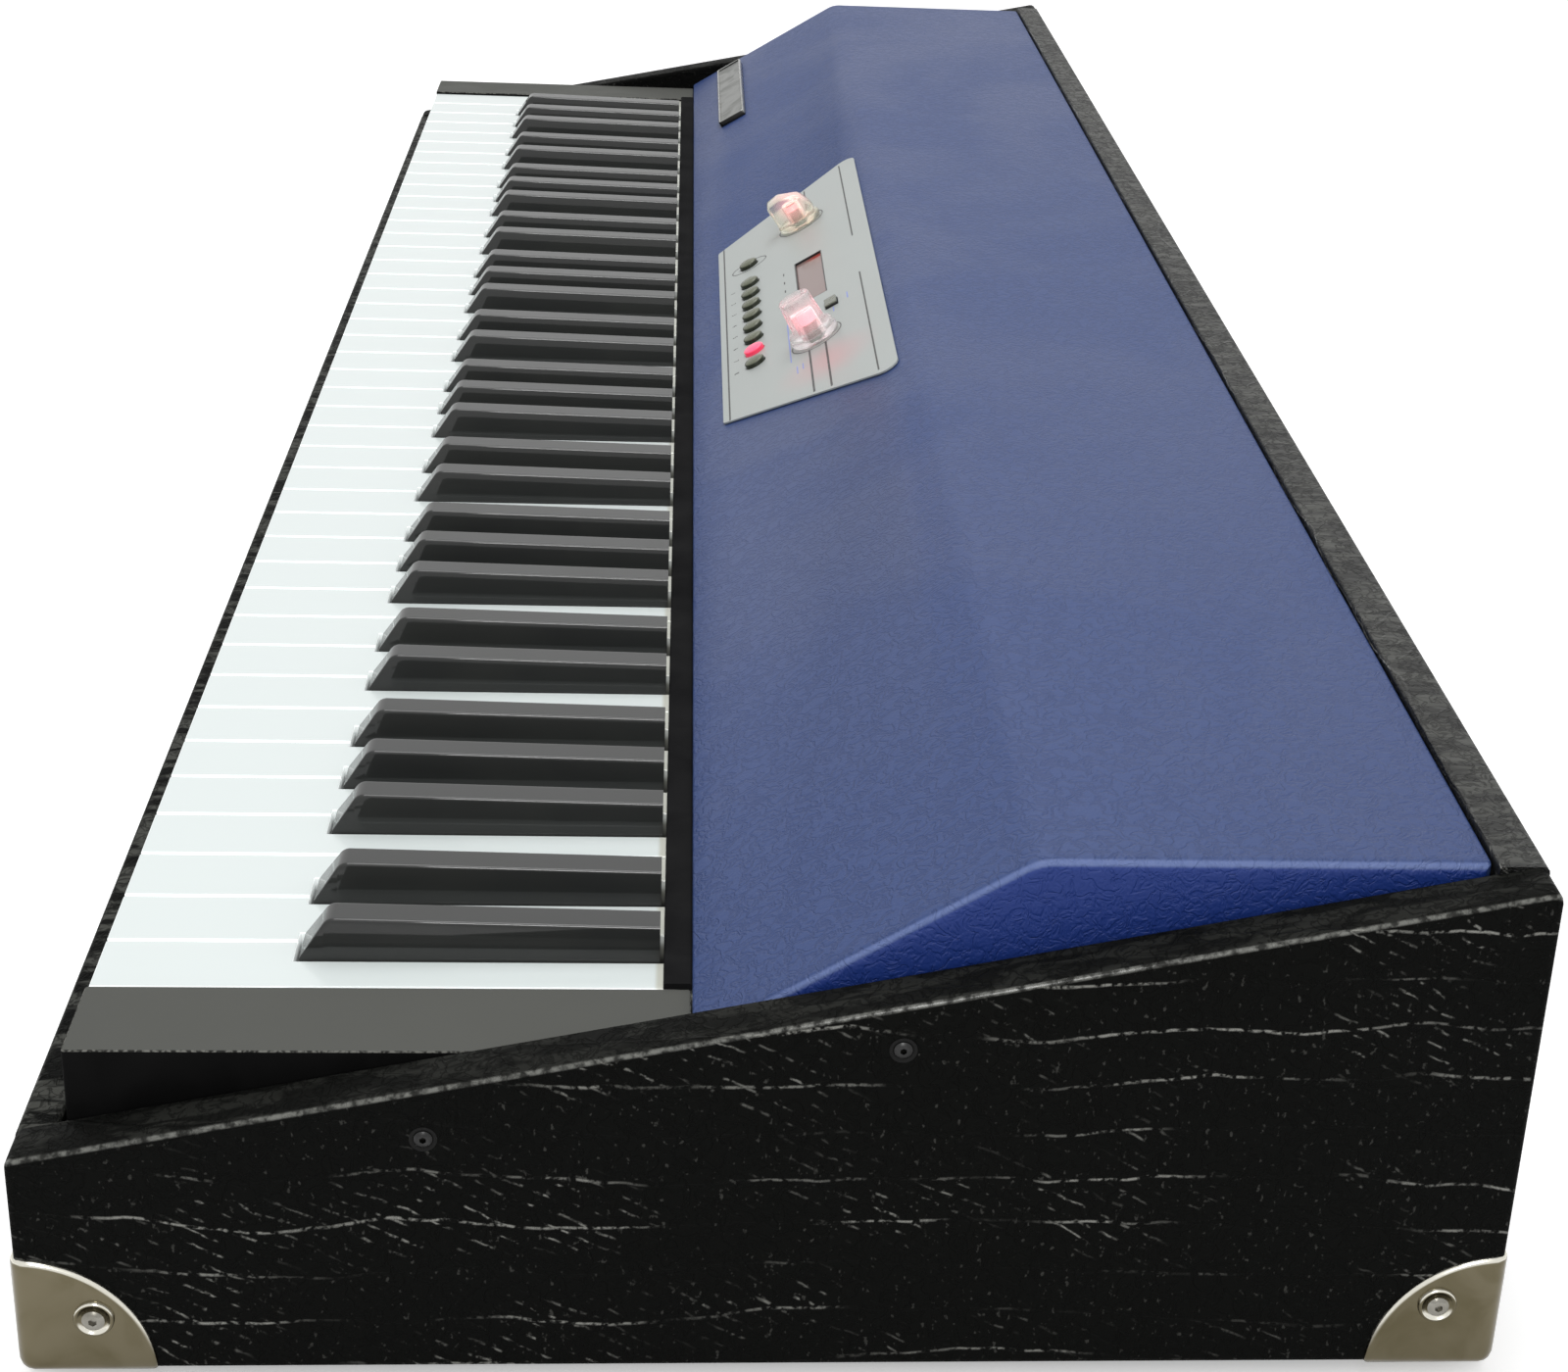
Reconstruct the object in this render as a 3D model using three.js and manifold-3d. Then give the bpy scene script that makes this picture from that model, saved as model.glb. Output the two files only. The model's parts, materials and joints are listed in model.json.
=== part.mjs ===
// A 73-key stage piano in a cloth-covered wooden case, built from its separate pieces.
// Millimetres. +X is the player's right, +Y leads away from the player and +Z is up.
// The origin lies on the floor under the middle of the case.

import * as THREE from 'three';
import { mergeVertices } from 'three/addons/utils/BufferGeometryUtils.js';
import Module from 'manifold-3d';

const wasm = await Module();
wasm.setup();

// Case: four walls and a base board of covered plywood. Its width follows from the keyboard.
const keyEndRoom = 31.2;
const caseDepth = 370;
const caseFrontHeight = 61.1;
const caseRearHeight = 137.9;
const cheekThickness = 15;
const frontRailThickness = 10;
const backPanelThickness = 12.5;
const backPanelDrop = 0.4;
const baseThickness = 12;

// Rubber feet
const footHeight = 8;
const footTopDiameter = 30;
const footTipDiameter = 24;
const footInsetX = 90;
const footInsetY = 45;

// Pressed corner plates round the four lower corners, each held by two screws in cup washers
const cornerRadius = 33;
const cornerThickness = 1.2;
const cornerScrewPlaces = { front: { inset: 18.6, rise: 16.5 }, rear: { inset: 16.4, rise: 19.2 } };
const cupWasherDiameter = 10;
const cupWasherHeight = 1.1;
const cupWasherFlank = 0.8;
const cornerScrewDiameter = 5.6;
const cornerScrewHeight = 1.9;
const cornerScrewCrown = 0.7;

// Keyboard
const octaveWidth = 165;
const whitesPerOctave = 7;
const semitonesPerOctave = 12;
const keyCount = 73;
const joinedOctaves = 5;
const firstSemitone = 4;
const firstOctave = 1;
const keyLevel = 82;
const keySetback = 12.5;
const whiteLength = 145;
const whiteGap = 1;
const whiteFrontHeight = 20;
const whiteFrontWall = 2.5;
const whiteBodyHeight = 13;
const whiteTuck = 2;
const armTopDrop = 2;
const armFloorDrop = 12;
const pivotReach = 70;
const armOverhang = 10;
const blackSetback = 50.4;
const blackTailGap = 2.2;
const blackBaseWidth = 13;
const blackTopWidth = 10;
const blackFrontRise = 10.8;
const blackRearRise = 8;
const blackNoseRun = 7.1;
const blackShoulder = 0.5;
const blackArmWidth = 10;
const blackArmHeight = 4.5;
const blackSideClearance = 0.65;
const blackFrontClearance = 1.4;
// Sideways places of the black keys from the joint of their white neighbours, as shares of the white pitch
const blackOffsetShares = { 1: -0.1315, 3: 0.1315, 6: -0.178, 8: 0, 10: 0.178 };

// Bars that join an octave's white or black keys behind the fulcrum, under the cover
const barDepth = 6.7;
const whiteBarHeight = 4;
const blackBarHeight = 3.5;
const barClearance = 1.5;

// Key frame: pressed steel with a front guide rail, a fulcrum rail and end platforms
const frameThickness = 2;
const frameFrontSetback = 4.5;
const frameRearReach = 20;
const frameEndGap = 1.5;
const guideRailSetback = 22;
const guideRailDepth = 10;
const guideRailDrop = 28;
const pivotRailDepth = 8;
const pivotRailDrop = 20;
const fulcrumWidth = 3;
const fulcrumClearance = 0.3;

// End blocks beside the keys and the felt strip behind them
const endBlockKeyGap = 1.2;
const endBlockFitGap = 0.2;
const endBlockRise = 1;
const endBlockLead = 0.4;
const endBlockHeight = 28;
const feltWidth = 6.2;
const feltOverlap = 1.2;
const feltThickness = 2;
const feltClearance = 0.6;
const feltEndGap = 0.3;

// Cover: a folded shell with a front slope, a flat top and two end walls
const coverFrontRise = 4;
const coverTopRise = 54.5;
const coverSlopeRun = 82.4;
const coverThickness = 3;
const coverLipHeight = 3;
const coverEndGap = 1.5;
const coverRearGap = 0.4;
const coverRearFlange = 25;
const ridgeRadius = 12;

// Control panel on the slope: along is measured up the slope from the cover's front edge
const seatGap = 0.3;
const panelCentreX = -14.4;
const panelFrontWidth = 238.6;
const panelRearWidth = 326.6;
const panelSetback = 14.2;
const panelRun = 74.7;
const panelThickness = 0.7;
const panelFrontRadius = 2;
const panelRearRadius = 5.5;
const openingInset = 8;
const openingSideInset = 14;

// Round push buttons, one alone and eight in a row
const buttonDiameter = 8.6;
const buttonHoleClearance = 0.3;
const buttonRimRise = 1.4;
const buttonCrownRise = 2.7;
const buttonTravel = 1.2;
const buttonFlange = 0.8;
const buttonFlangeThickness = 1;
const buttonStemWidth = 3.6;
const switchGap = 0.3;
const buttonAlong = 29.9;
const firstButtonX = -87.1;
const buttonRowX = -57.8;
const buttonPitch = 16;
const buttonRowCount = 8;

// Oblong menu button
const menuButtonWidth = 9.2;
const menuButtonDepth = 5.4;
const menuButtonRise = 1.5;
const menuButtonX = 31.2;
const menuButtonAlong = 66.3;

// Knobs: a fluted value knob and an arched volume knob on the same line
const knobAlong = 57.7;
const valueKnobX = 64.5;
const volumeKnobX = -108.4;
const knobBaseDiameter = 20.4;
const knobRunningGap = 0.6;
const valueSkirtHeight = 3.4;
const valueShoulderHeight = 4;
const valueBodyDiameter = 15;
const valueTopDiameter = 13.4;
const valueTopRound = 0.6;
const valueKnobHeight = 18.8;
const volumeDiscHeight = 2.4;
const volumeBarWidth = 11;
const volumeNose = 9.2;
const volumeNoseLean = 0.9;
const volumeNoseHeight = 14.2;
const volumeCrown = 3.5;
const volumeCrownHeight = 15.4;
const volumeShoulder = 5.1;
const volumeShoulderHeight = 12.2;
const volumeTail = 8.8;
const volumeArchHeight = 7.6;
const shaftDiameter = 6;
const shaftClearance = 0.3;
const shaftReach = 11;
const boreCeilingGap = 0.5;

// Display behind its window in the panel
const windowX = -20;
const windowAlong = 58.55;
const windowWidth = 62;
const windowHeight = 13.5;
const displayMargin = 2.5;
const displayThickness = 4;

// Name plate on the slope, left bare
const badgeEndInset = 18.5;
const badgeAlong = 25.7;
const badgeWidth = 134;
const badgeHeight = 15.5;
const badgeThickness = 3;
const badgeRadius = 1;

// Control board under the panel
const boardDrop = 10;
const boardThickness = 1.6;
const boardMargin = 5;
const potDiameter = 12;
const potHeight = 7;
const switchWidth = 6;
const switchHeight = 3.2;
const pillarDiameter = 5;
const pillarInset = 4;
const pillarSideInset = 6;
const displayPropWidth = 30;
const displayPropHeight = 8;

// Main board and power supply on the base board
const mainBoardWidth = 240;
const mainBoardFrontGap = 6;
const mainBoardX = -60;
const mainBoardRearGap = 24;
const standoffHeight = 6;
const standoffDiameter = 6;
const standoffInset = 8;
const chipHeight = 3;
const chipWidth = 26;
const chipPitch = 38;
const chipCount = 3;
const supplyWidth = 58;
const supplyHeight = 32;
const supplyInset = 14;

// Connector plate in the back panel with its socket housing
const plateEndInset = 107;
const plateWidth = 262;
const plateHeight = 56;
const plateThickness = 2;
const plateRecess = 0.5;
const plateCentreHeight = 70;
const plateFitGap = 0.3;
const housingWidth = 250;
const housingHeight = 28;
const housingDepth = 22;
const housingFitGap = 1;
const inletX = -105;
const inletWidth = 25;
const inletHeight = 17;
const inletDepth = 17;
const dataPortX = -45;
const dataPortWidth = 8.6;
const dataPortHeight = 7.9;
const dataPortDepth = 10;
const dinX = -18;
const dinPitch = 24;
const dinCount = 2;
const dinDiameter = 13.4;
const dinDepth = 9;
const jackX = 32;
const jackPitch = 20;
const jackCount = 5;
const jackDiameter = 6.8;
const jackDepth = 19;

// Power rocker in the connector plate
const rockerX = -72;
const rockerLength = 18;
const rockerHeight = 12;
const rockerDepth = 7;
const rockerWaist = 7;
const rockerDish = 1.4;
const rockerTilt = THREE.MathUtils.degToRad(7);
const rockerPivotDepth = 1;
const rockerEndClearance = 0.6;
const rockerSideClearance = 0.4;
const rockerWellDepth = 14;

// Fineness of the curves
const roundSteps = 24;
const buttonSteps = 12;
const boreSteps = 16;
const ballSteps = 32;
const arcSteps = 4;
// How far a cutting tool runs past what it cuts
const overrun = 5;

const finishes = {
  cloth: { color: '#161616', roughness: 0.5, metalness: 0 },
  leatherette: { color: '#2b3a72', roughness: 0.55, metalness: 0 },
  nickel: { color: '#b9b3a4', roughness: 0.25, metalness: 1 },
  steel: { color: '#8d9092', roughness: 0.45, metalness: 1 },
  silver: { color: '#b4bab7', roughness: 0.5, metalness: 0.3 },
  white: { color: '#eaf3f1', roughness: 0.3, metalness: 0 },
  black: { color: '#2a2a28', roughness: 0.35, metalness: 0 },
  block: { color: '#2c2c2a', roughness: 0.6, metalness: 0 },
  clear: { color: '#efe3df', roughness: 0.1, metalness: 0, transparent: true, opacity: 0.6 },
  smoked: { color: '#5f6256', roughness: 0.3, metalness: 0 },
  display: { color: '#a08d86', roughness: 0.15, metalness: 0 },
  felt: { color: '#0c0c0c', roughness: 1, metalness: 0 },
  board: { color: '#2f5a3a', roughness: 0.6, metalness: 0 },
  rubber: { color: '#1a1a1a', roughness: 0.9, metalness: 0 },
  plate: { color: '#1e1e1f', roughness: 0.5, metalness: 0.4 },
};

// Turns a closed geometry into a solid that can be joined and cut.
function toSolid(geometry) {
  const bare = geometry.clone();
  bare.deleteAttribute('normal');
  bare.deleteAttribute('uv');
  const merged = mergeVertices(bare);
  const vertProperties = Float32Array.from(merged.attributes.position.array);
  const triVerts = Uint32Array.from(merged.index.array);
  return new wasm.Manifold(new wasm.Mesh({ numProp: 3, vertProperties, triVerts }));
}

// Turns a solid back into a geometry with flat faces.
function toGeometry(solid) {
  const { vertProperties, triVerts } = solid.getMesh();
  const indexed = new THREE.BufferGeometry();
  indexed.setAttribute('position', new THREE.BufferAttribute(vertProperties, 3));
  indexed.setIndex(new THREE.BufferAttribute(triVerts, 1));
  const geometry = indexed.toNonIndexed();
  geometry.computeVertexNormals();
  return geometry;
}

function join(...bodies) {
  const solids = bodies.map(toSolid);
  return toGeometry(solids.reduce((sum, solid) => sum.add(solid)));
}

function cut(body, ...tools) {
  return toGeometry(tools.map(toSolid).reduce((rest, tool) => rest.subtract(tool), toSolid(body)));
}

function common(body, other) {
  return toGeometry(toSolid(body).intersect(toSolid(other)));
}

// Moves every vertex of a geometry to the place that a function of its old place gives.
function remap(geometry, place) {
  const position = geometry.attributes.position;
  for (let i = 0; i < position.count; i += 1) {
    position.setXYZ(i, ...place(position.getX(i), position.getY(i), position.getZ(i)));
  }
  return geometry;
}

// A block between two corners. Its faces take the given values exactly, so that blocks can touch.
function box([x0, x1], [y0, y1], [z0, z1]) {
  const [lowX, highX] = [Math.min(x0, x1), Math.max(x0, x1)];
  const [lowY, highY] = [Math.min(y0, y1), Math.max(y0, y1)];
  const [lowZ, highZ] = [Math.min(z0, z1), Math.max(z0, z1)];
  return remap(new THREE.BoxGeometry(), (x, y, z) => [
    x < 0 ? lowX : highX,
    y < 0 ? lowY : highY,
    z < 0 ? lowZ : highZ,
  ]);
}

function widened([low, high], by) {
  return [low - by, high + by];
}

// A block from its middle and its size along X and Y, between two heights.
function block(middleX, width, middleY, depth, spanZ) {
  return box(widened([middleX, middleX], width / 2), widened([middleY, middleY], depth / 2), spanZ);
}

function extrude(outline) {
  const shape = new THREE.Shape(outline.map(([u, v]) => new THREE.Vector2(u, v)));
  return new THREE.ExtrudeGeometry(shape, { depth: 1, bevelEnabled: false });
}

// A prism along X from an outline in (y, z), and one along Z from an outline in (x, y)
function prismX(outline, [x0, x1]) {
  return remap(extrude(outline), (u, v, w) => [w > 0 ? x1 : x0, u, v]);
}

function prismZ(outline, [z0, z1]) {
  return remap(extrude(outline), (u, v, w) => [u, v, w > 0 ? z1 : z0]);
}

// A turned body about a line along Z, from its profile of (radius, height) points with rising height.
function turned(profile, [x, y, z], steps) {
  const geometry = new THREE.LatheGeometry(profile.map(([r, h]) => new THREE.Vector2(r, h)), steps);
  return geometry.rotateX(Math.PI / 2).translate(x, y, z);
}

function cylinder(diameter, [z0, z1], [x, y], steps) {
  return turned([[0, z0], [diameter / 2, z0], [diameter / 2, z1], [0, z1]], [x, y, 0], steps);
}

// A round hole along Y, for the sockets of the connector plate.
function cylinderY(diameter, [y0, y1], [x, z], steps) {
  const profile = [[0, y0], [diameter / 2, y0], [diameter / 2, y1], [0, y1]];
  const geometry = new THREE.LatheGeometry(profile.map(([r, h]) => new THREE.Vector2(r, h)), steps);
  return geometry.translate(x, 0, z);
}

// An outline whose corners are arcs: each corner gives its point and its radius.
function rounded(corners, steps) {
  const outline = [];
  corners.forEach(([x, y, radius], i) => {
    const here = new THREE.Vector2(x, y);
    const before = corners[(i + corners.length - 1) % corners.length];
    const after = corners[(i + 1) % corners.length];
    const back = new THREE.Vector2(before[0], before[1]).sub(here).normalize();
    const ahead = new THREE.Vector2(after[0], after[1]).sub(here).normalize();
    if (radius === 0) {
      outline.push([x, y]);
      return;
    }
    const half = Math.acos(back.dot(ahead)) / 2;
    const middle = back.clone().add(ahead).normalize();
    const centre = here.clone().addScaledVector(middle, radius / Math.sin(half));
    const start = here.clone().addScaledVector(back, radius / Math.tan(half)).sub(centre);
    const end = here.clone().addScaledVector(ahead, radius / Math.tan(half)).sub(centre);
    const sweep = Math.atan2(start.cross(end), start.dot(end));
    for (let step = 0; step <= steps; step += 1) {
      const point = start.clone().rotateAround(new THREE.Vector2(), (sweep * step) / steps).add(centre);
      outline.push([point.x, point.y]);
    }
  });
  return outline;
}

const piano = new THREE.Group();

function piece(parent, name, geometry, finish) {
  const mesh = new THREE.Mesh(geometry, new THREE.MeshStandardMaterial(finishes[finish]));
  mesh.name = name;
  parent.add(mesh);
  return mesh;
}

// Keyboard layout: each key's name, its kind, and how many white keys lie to its left
const noteNames = ['C', 'Cs', 'D', 'Ds', 'E', 'F', 'Fs', 'G', 'Gs', 'A', 'As', 'B'];
const whitePitch = octaveWidth / whitesPerOctave;
const layout = [];
let whiteCount = 0;
for (let index = 0; index < keyCount; index += 1) {
  const semitone = firstSemitone + index;
  const note = semitone % semitonesPerOctave;
  const octave = firstOctave + Math.floor(semitone / semitonesPerOctave);
  const black = note in blackOffsetShares;
  layout.push({ name: `${noteNames[note]}${octave}`, note, black, place: whiteCount });
  whiteCount += black ? 0 : 1;
}
const keysRight = (whiteCount * whitePitch) / 2;

// Places that several pieces share
const innerRight = keysRight + keyEndRoom;
const right = innerRight + cheekThickness;
const front = -caseDepth / 2;
const rear = caseDepth / 2;
const underside = footHeight;
const innerRear = rear - backPanelThickness;
const baseTop = underside + baseThickness;
const keyTop = underside + keyLevel;
const keyFront = front + keySetback;
const coverFront = keyFront + whiteLength + feltWidth;
const pivotY = keyFront + whiteLength + pivotReach;
const armEnd = pivotY + armOverhang;
const armFloor = keyTop - armFloorDrop;
const sides = [['left', -1], ['right', 1]];
const ends = [['front', -1], ['rear', 1]];

// Case walls
const railRearFace = front + frontRailThickness;
piece(piano, 'base_board', box(
  [-innerRight, innerRight], [railRearFace, innerRear], [underside, baseTop]), 'cloth');

piece(piano, 'front_rail', box(
  [-innerRight, innerRight], [front, railRearFace], [underside, underside + caseFrontHeight]), 'cloth');

const cheekOutline = [
  [front, underside],
  [rear, underside],
  [rear, underside + caseRearHeight],
  [front, underside + caseFrontHeight],
];
for (const [side, sign] of sides) {
  const span = [Math.min(sign * innerRight, sign * right), Math.max(sign * innerRight, sign * right)];
  piece(piano, `${side}_cheek`, prismX(cheekOutline, span), 'cloth');
}

// Back panel, rebated for the connector plate and cut through for its housing
const plateX = plateEndInset + plateWidth / 2 - innerRight;
const plateMiddleZ = underside + plateCentreHeight;
const plateFace = rear - plateRecess;
const plateBack = plateFace - plateThickness;
const plateSpanX = [plateX - plateWidth / 2, plateX + plateWidth / 2];
const plateSpanZ = [plateMiddleZ - plateHeight / 2, plateMiddleZ + plateHeight / 2];
const housingSpanX = [plateX - housingWidth / 2, plateX + housingWidth / 2];
const housingSpanZ = [plateMiddleZ - housingHeight / 2, plateMiddleZ + housingHeight / 2];

const backPanelTop = underside + caseRearHeight - backPanelDrop;
const housingHoleX = widened(housingSpanX, housingFitGap);
const housingHoleZ = widened(housingSpanZ, housingFitGap);
piece(piano, 'back_panel', cut(
  box([-innerRight, innerRight], [innerRear, rear], [underside, backPanelTop]),
  box(widened(plateSpanX, plateFitGap), [plateBack, rear + overrun], widened(plateSpanZ, plateFitGap)),
  box(housingHoleX, [innerRear - overrun, rear], housingHoleZ),
), 'cloth');

// A raised screw head in its cup washer, turned about Y from half-way into the plate and swung about Z.
function cornerScrew([x, y, z], swing) {
  const washerTop = cornerThickness + cupWasherHeight;
  const profile = [
    [0, cornerThickness / 2],
    [cupWasherDiameter / 2, cornerThickness / 2],
    [cupWasherDiameter / 2, cornerThickness],
    [cupWasherDiameter / 2 - cupWasherFlank, washerTop],
    [cornerScrewDiameter / 2, washerTop],
    [cornerScrewDiameter / 2 - cornerScrewCrown, cornerThickness + cornerScrewHeight],
    [0, cornerThickness + cornerScrewHeight],
  ];
  const geometry = new THREE.LatheGeometry(profile.map(([r, h]) => new THREE.Vector2(r, h)), roundSteps);
  return geometry.rotateZ(swing).translate(x, y, z);
}

// Each corner plate is what lies outside the case in a ball round the corner, up to the plate's thickness.
for (const [end, alongY] of ends) {
  for (const [side, alongX] of sides) {
    const cornerX = alongX * right;
    const cornerY = alongY * rear;
    const ball = new THREE.SphereGeometry(cornerRadius, ballSteps, ballSteps / 2);
    ball.translate(cornerX, cornerY, underside);
    const reach = box(
      [cornerX - alongX * cornerRadius, cornerX + alongX * cornerThickness],
      [cornerY - alongY * cornerRadius, cornerY + alongY * cornerThickness],
      [underside - cornerThickness, underside + cornerRadius]);
    const inside = box(
      [cornerX - alongX * (cornerRadius + overrun), cornerX],
      [cornerY - alongY * (cornerRadius + overrun), cornerY],
      [underside, underside + cornerRadius + overrun]);
    const { inset, rise } = cornerScrewPlaces[end];
    piece(piano, `${end}_${side}_corner`, join(
      cut(common(ball, reach), inside),
      cornerScrew([cornerX, cornerY - alongY * inset, underside + rise], (-alongX * Math.PI) / 2),
      cornerScrew([cornerX - alongX * inset, cornerY, underside + rise], (1 - alongY) * (Math.PI / 2)),
    ), 'nickel');
  }
}

for (const [end, alongY] of ends) {
  for (const [side, alongX] of sides) {
    const profile = [[0, 0], [footTipDiameter / 2, 0], [footTopDiameter / 2, footHeight], [0, footHeight]];
    const place = [alongX * (right - footInsetX), alongY * (rear - footInsetY), 0];
    piece(piano, `${end}_${side}_foot`, turned(profile, place, roundSteps), 'rubber');
  }
}

function jointX(key) {
  return key.place * whitePitch - keysRight;
}

function blackX(key) {
  return jointX(key) + blackOffsetShares[key.note] * whitePitch;
}

// The slot between two white keys that a black key stands in
function slotTool(key) {
  const half = blackBaseWidth / 2 + blackSideClearance;
  return box(
    [blackX(key) - half, blackX(key) + half],
    [keyFront + blackSetback - blackFrontClearance, armEnd + overrun],
    [keyTop - whiteFrontHeight - overrun, keyTop + overrun]);
}

const whiteProfile = [
  [keyFront, keyTop],
  [keyFront, keyTop - whiteFrontHeight],
  [keyFront + whiteFrontWall, keyTop - whiteFrontHeight],
  [keyFront + whiteFrontWall, keyTop - whiteBodyHeight],
  [coverFront, keyTop - whiteBodyHeight],
  [coverFront, armFloor],
  [armEnd, armFloor],
  [armEnd, keyTop - armTopDrop],
  [keyFront + whiteLength + whiteTuck, keyTop - armTopDrop],
  [keyFront + whiteLength + whiteTuck, keyTop],
];

function whiteKey(index) {
  const start = jointX(layout[index]);
  const neighbours = [layout[index - 1], layout[index + 1]].filter((key) => key && key.black);
  const body = prismX(whiteProfile, [start + whiteGap / 2, start + whitePitch - whiteGap / 2]);
  return cut(body, ...neighbours.map(slotTool));
}

// A closed body through rings of points that run anticlockwise from above, the lowest ring first.
function stack(rings) {
  const size = rings[0].length;
  const triangles = [];
  for (let level = 0; level + 1 < rings.length; level += 1) {
    for (let j = 0; j < size; j += 1) {
      const low = level * size + j;
      const lowNext = level * size + ((j + 1) % size);
      triangles.push(low, lowNext, lowNext + size, low, lowNext + size, low + size);
    }
  }
  const top = (rings.length - 1) * size;
  for (let j = 1; j + 1 < size; j += 1) {
    triangles.push(0, j + 1, j, top, top + j, top + j + 1);
  }
  const geometry = new THREE.BufferGeometry();
  geometry.setAttribute('position', new THREE.Float32BufferAttribute(rings.flat(2), 3));
  geometry.setIndex(triangles);
  return geometry;
}

// A black key: a cap that narrows upwards with a sloping nose, and an arm back to the fulcrum.
function blackKey(index) {
  const x = blackX(layout[index]);
  const noseY = keyFront + blackSetback;
  const tailY = keyFront + whiteLength - blackTailGap;
  const ring = (width, y, frontZ, rearZ) => [
    [x - width / 2, y, frontZ],
    [x + width / 2, y, frontZ],
    [x + width / 2, tailY, rearZ],
    [x - width / 2, tailY, rearZ],
  ];
  const cap = stack([
    ring(blackBaseWidth, noseY, armFloor, armFloor),
    ring(blackBaseWidth, noseY, keyTop + blackShoulder, keyTop + blackShoulder),
    ring(blackTopWidth, noseY + blackNoseRun, keyTop + blackFrontRise, keyTop + blackRearRise),
  ]);
  const arm = box(
    widened([x, x], blackArmWidth / 2),
    [tailY - blackNoseRun, armEnd],
    [armFloor, armFloor + blackArmHeight]);
  return join(cap, arm);
}

// Behind the fulcrum a bar joins the white keys of an octave at their tops, and another its black keys
// under their arms.
const barSpanY = [armEnd - barDepth, armEnd];

function whiteComb(indices) {
  const bodies = indices.map(whiteKey);
  const start = jointX(layout[indices[0]]) + whiteGap;
  const stop = jointX(layout[indices[indices.length - 1]]) + whitePitch / 2;
  const barTop = keyTop - armTopDrop;
  return join(...bodies, box([start, stop], barSpanY, [barTop - whiteBarHeight, barTop]));
}

function blackComb(indices) {
  const barTop = armFloor - barClearance;
  const barSpanZ = [barTop - blackBarHeight, barTop];
  const middles = indices.map((index) => blackX(layout[index]));
  const dropSpanZ = [barTop - blackBarHeight, armFloor + blackArmHeight];
  const drops = middles.map((x) => box(widened([x, x], blackArmWidth / 2), barSpanY, dropSpanZ));
  const bar = box([middles[0], middles[middles.length - 1]], barSpanY, barSpanZ);
  return join(...indices.map(blackKey), ...drops, bar);
}

function indicesOf(first, last, black) {
  const all = Array.from({ length: last - first }, (unused, i) => first + i);
  return all.filter((index) => layout[index].black === black);
}

for (let group = 0; group < joinedOctaves; group += 1) {
  const first = group * semitonesPerOctave;
  const whites = indicesOf(first, first + semitonesPerOctave, false);
  const blacks = indicesOf(first, first + semitonesPerOctave, true);
  piece(piano, `white_keys_octave_${group + 1}`, whiteComb(whites), 'white');
  piece(piano, `black_keys_octave_${group + 1}`, blackComb(blacks), 'black');
}
for (let index = joinedOctaves * semitonesPerOctave; index < keyCount; index += 1) {
  const { name, black } = layout[index];
  const geometry = black ? blackKey(index) : whiteKey(index);
  piece(piano, `${black ? 'black' : 'white'}_key_${name}`, geometry, black ? 'black' : 'white');
}

// Key frame
const coverRight = innerRight - coverEndGap;
const frameRight = coverRight - coverThickness - frameEndGap;
const endBlockInner = keysRight + endBlockKeyGap;
const endBlockBottom = keyTop + endBlockRise - endBlockHeight;
const frameFront = keyFront + frameFrontSetback;
const frameRear = pivotY + frameRearReach;
const railRear = pivotY + fulcrumWidth / 2;
const frameSpanX = [-frameRight, frameRight];
const railSpanX = [-keysRight, keysRight];
const guideRailY = keyFront + guideRailSetback;
piece(piano, 'key_frame', join(
  box(frameSpanX, [frameFront, frameRear], [baseTop, baseTop + frameThickness]),
  box(railSpanX, [guideRailY, guideRailY + guideRailDepth], [baseTop, keyTop - guideRailDrop]),
  box(railSpanX, [railRear - pivotRailDepth, railRear], [baseTop, keyTop - pivotRailDrop]),
  box(railSpanX, [railRear - fulcrumWidth, railRear], [baseTop, armFloor - fulcrumClearance]),
  ...sides.map(([, sign]) => box(
    [sign * endBlockInner, sign * frameRight], [frameFront, coverFront], [baseTop, endBlockBottom])),
), 'steel');

for (const [side, sign] of sides) {
  piece(piano, `${side}_end_block`, box(
    [sign * endBlockInner, sign * (innerRight - endBlockFitGap)],
    [keyFront - endBlockLead, coverFront - endBlockFitGap],
    [endBlockBottom, keyTop + endBlockRise]), 'block');
}

const feltRight = endBlockInner - feltEndGap;
piece(piano, 'felt_strip', box(
  [-feltRight, feltRight],
  [keyFront + whiteLength - feltOverlap, coverFront],
  [keyTop + feltClearance, keyTop + feltClearance + feltThickness]), 'felt');

// Cover: the whole section from wall to wall, less the room inside it, less the window under the panel
const coverFrontTop = keyTop + coverFrontRise;
const coverTop = keyTop + coverTopRise;
const coverRear = innerRear - coverRearGap;
const ridgeY = coverFront + coverSlopeRun;
const slopeAngle = Math.atan((coverTopRise - coverFrontRise) / coverSlopeRun);
const slope = new THREE.Group();
slope.position.set(0, coverFront, coverFrontTop);
slope.rotation.x = slopeAngle;
slope.updateMatrix();
piano.add(slope);

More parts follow.
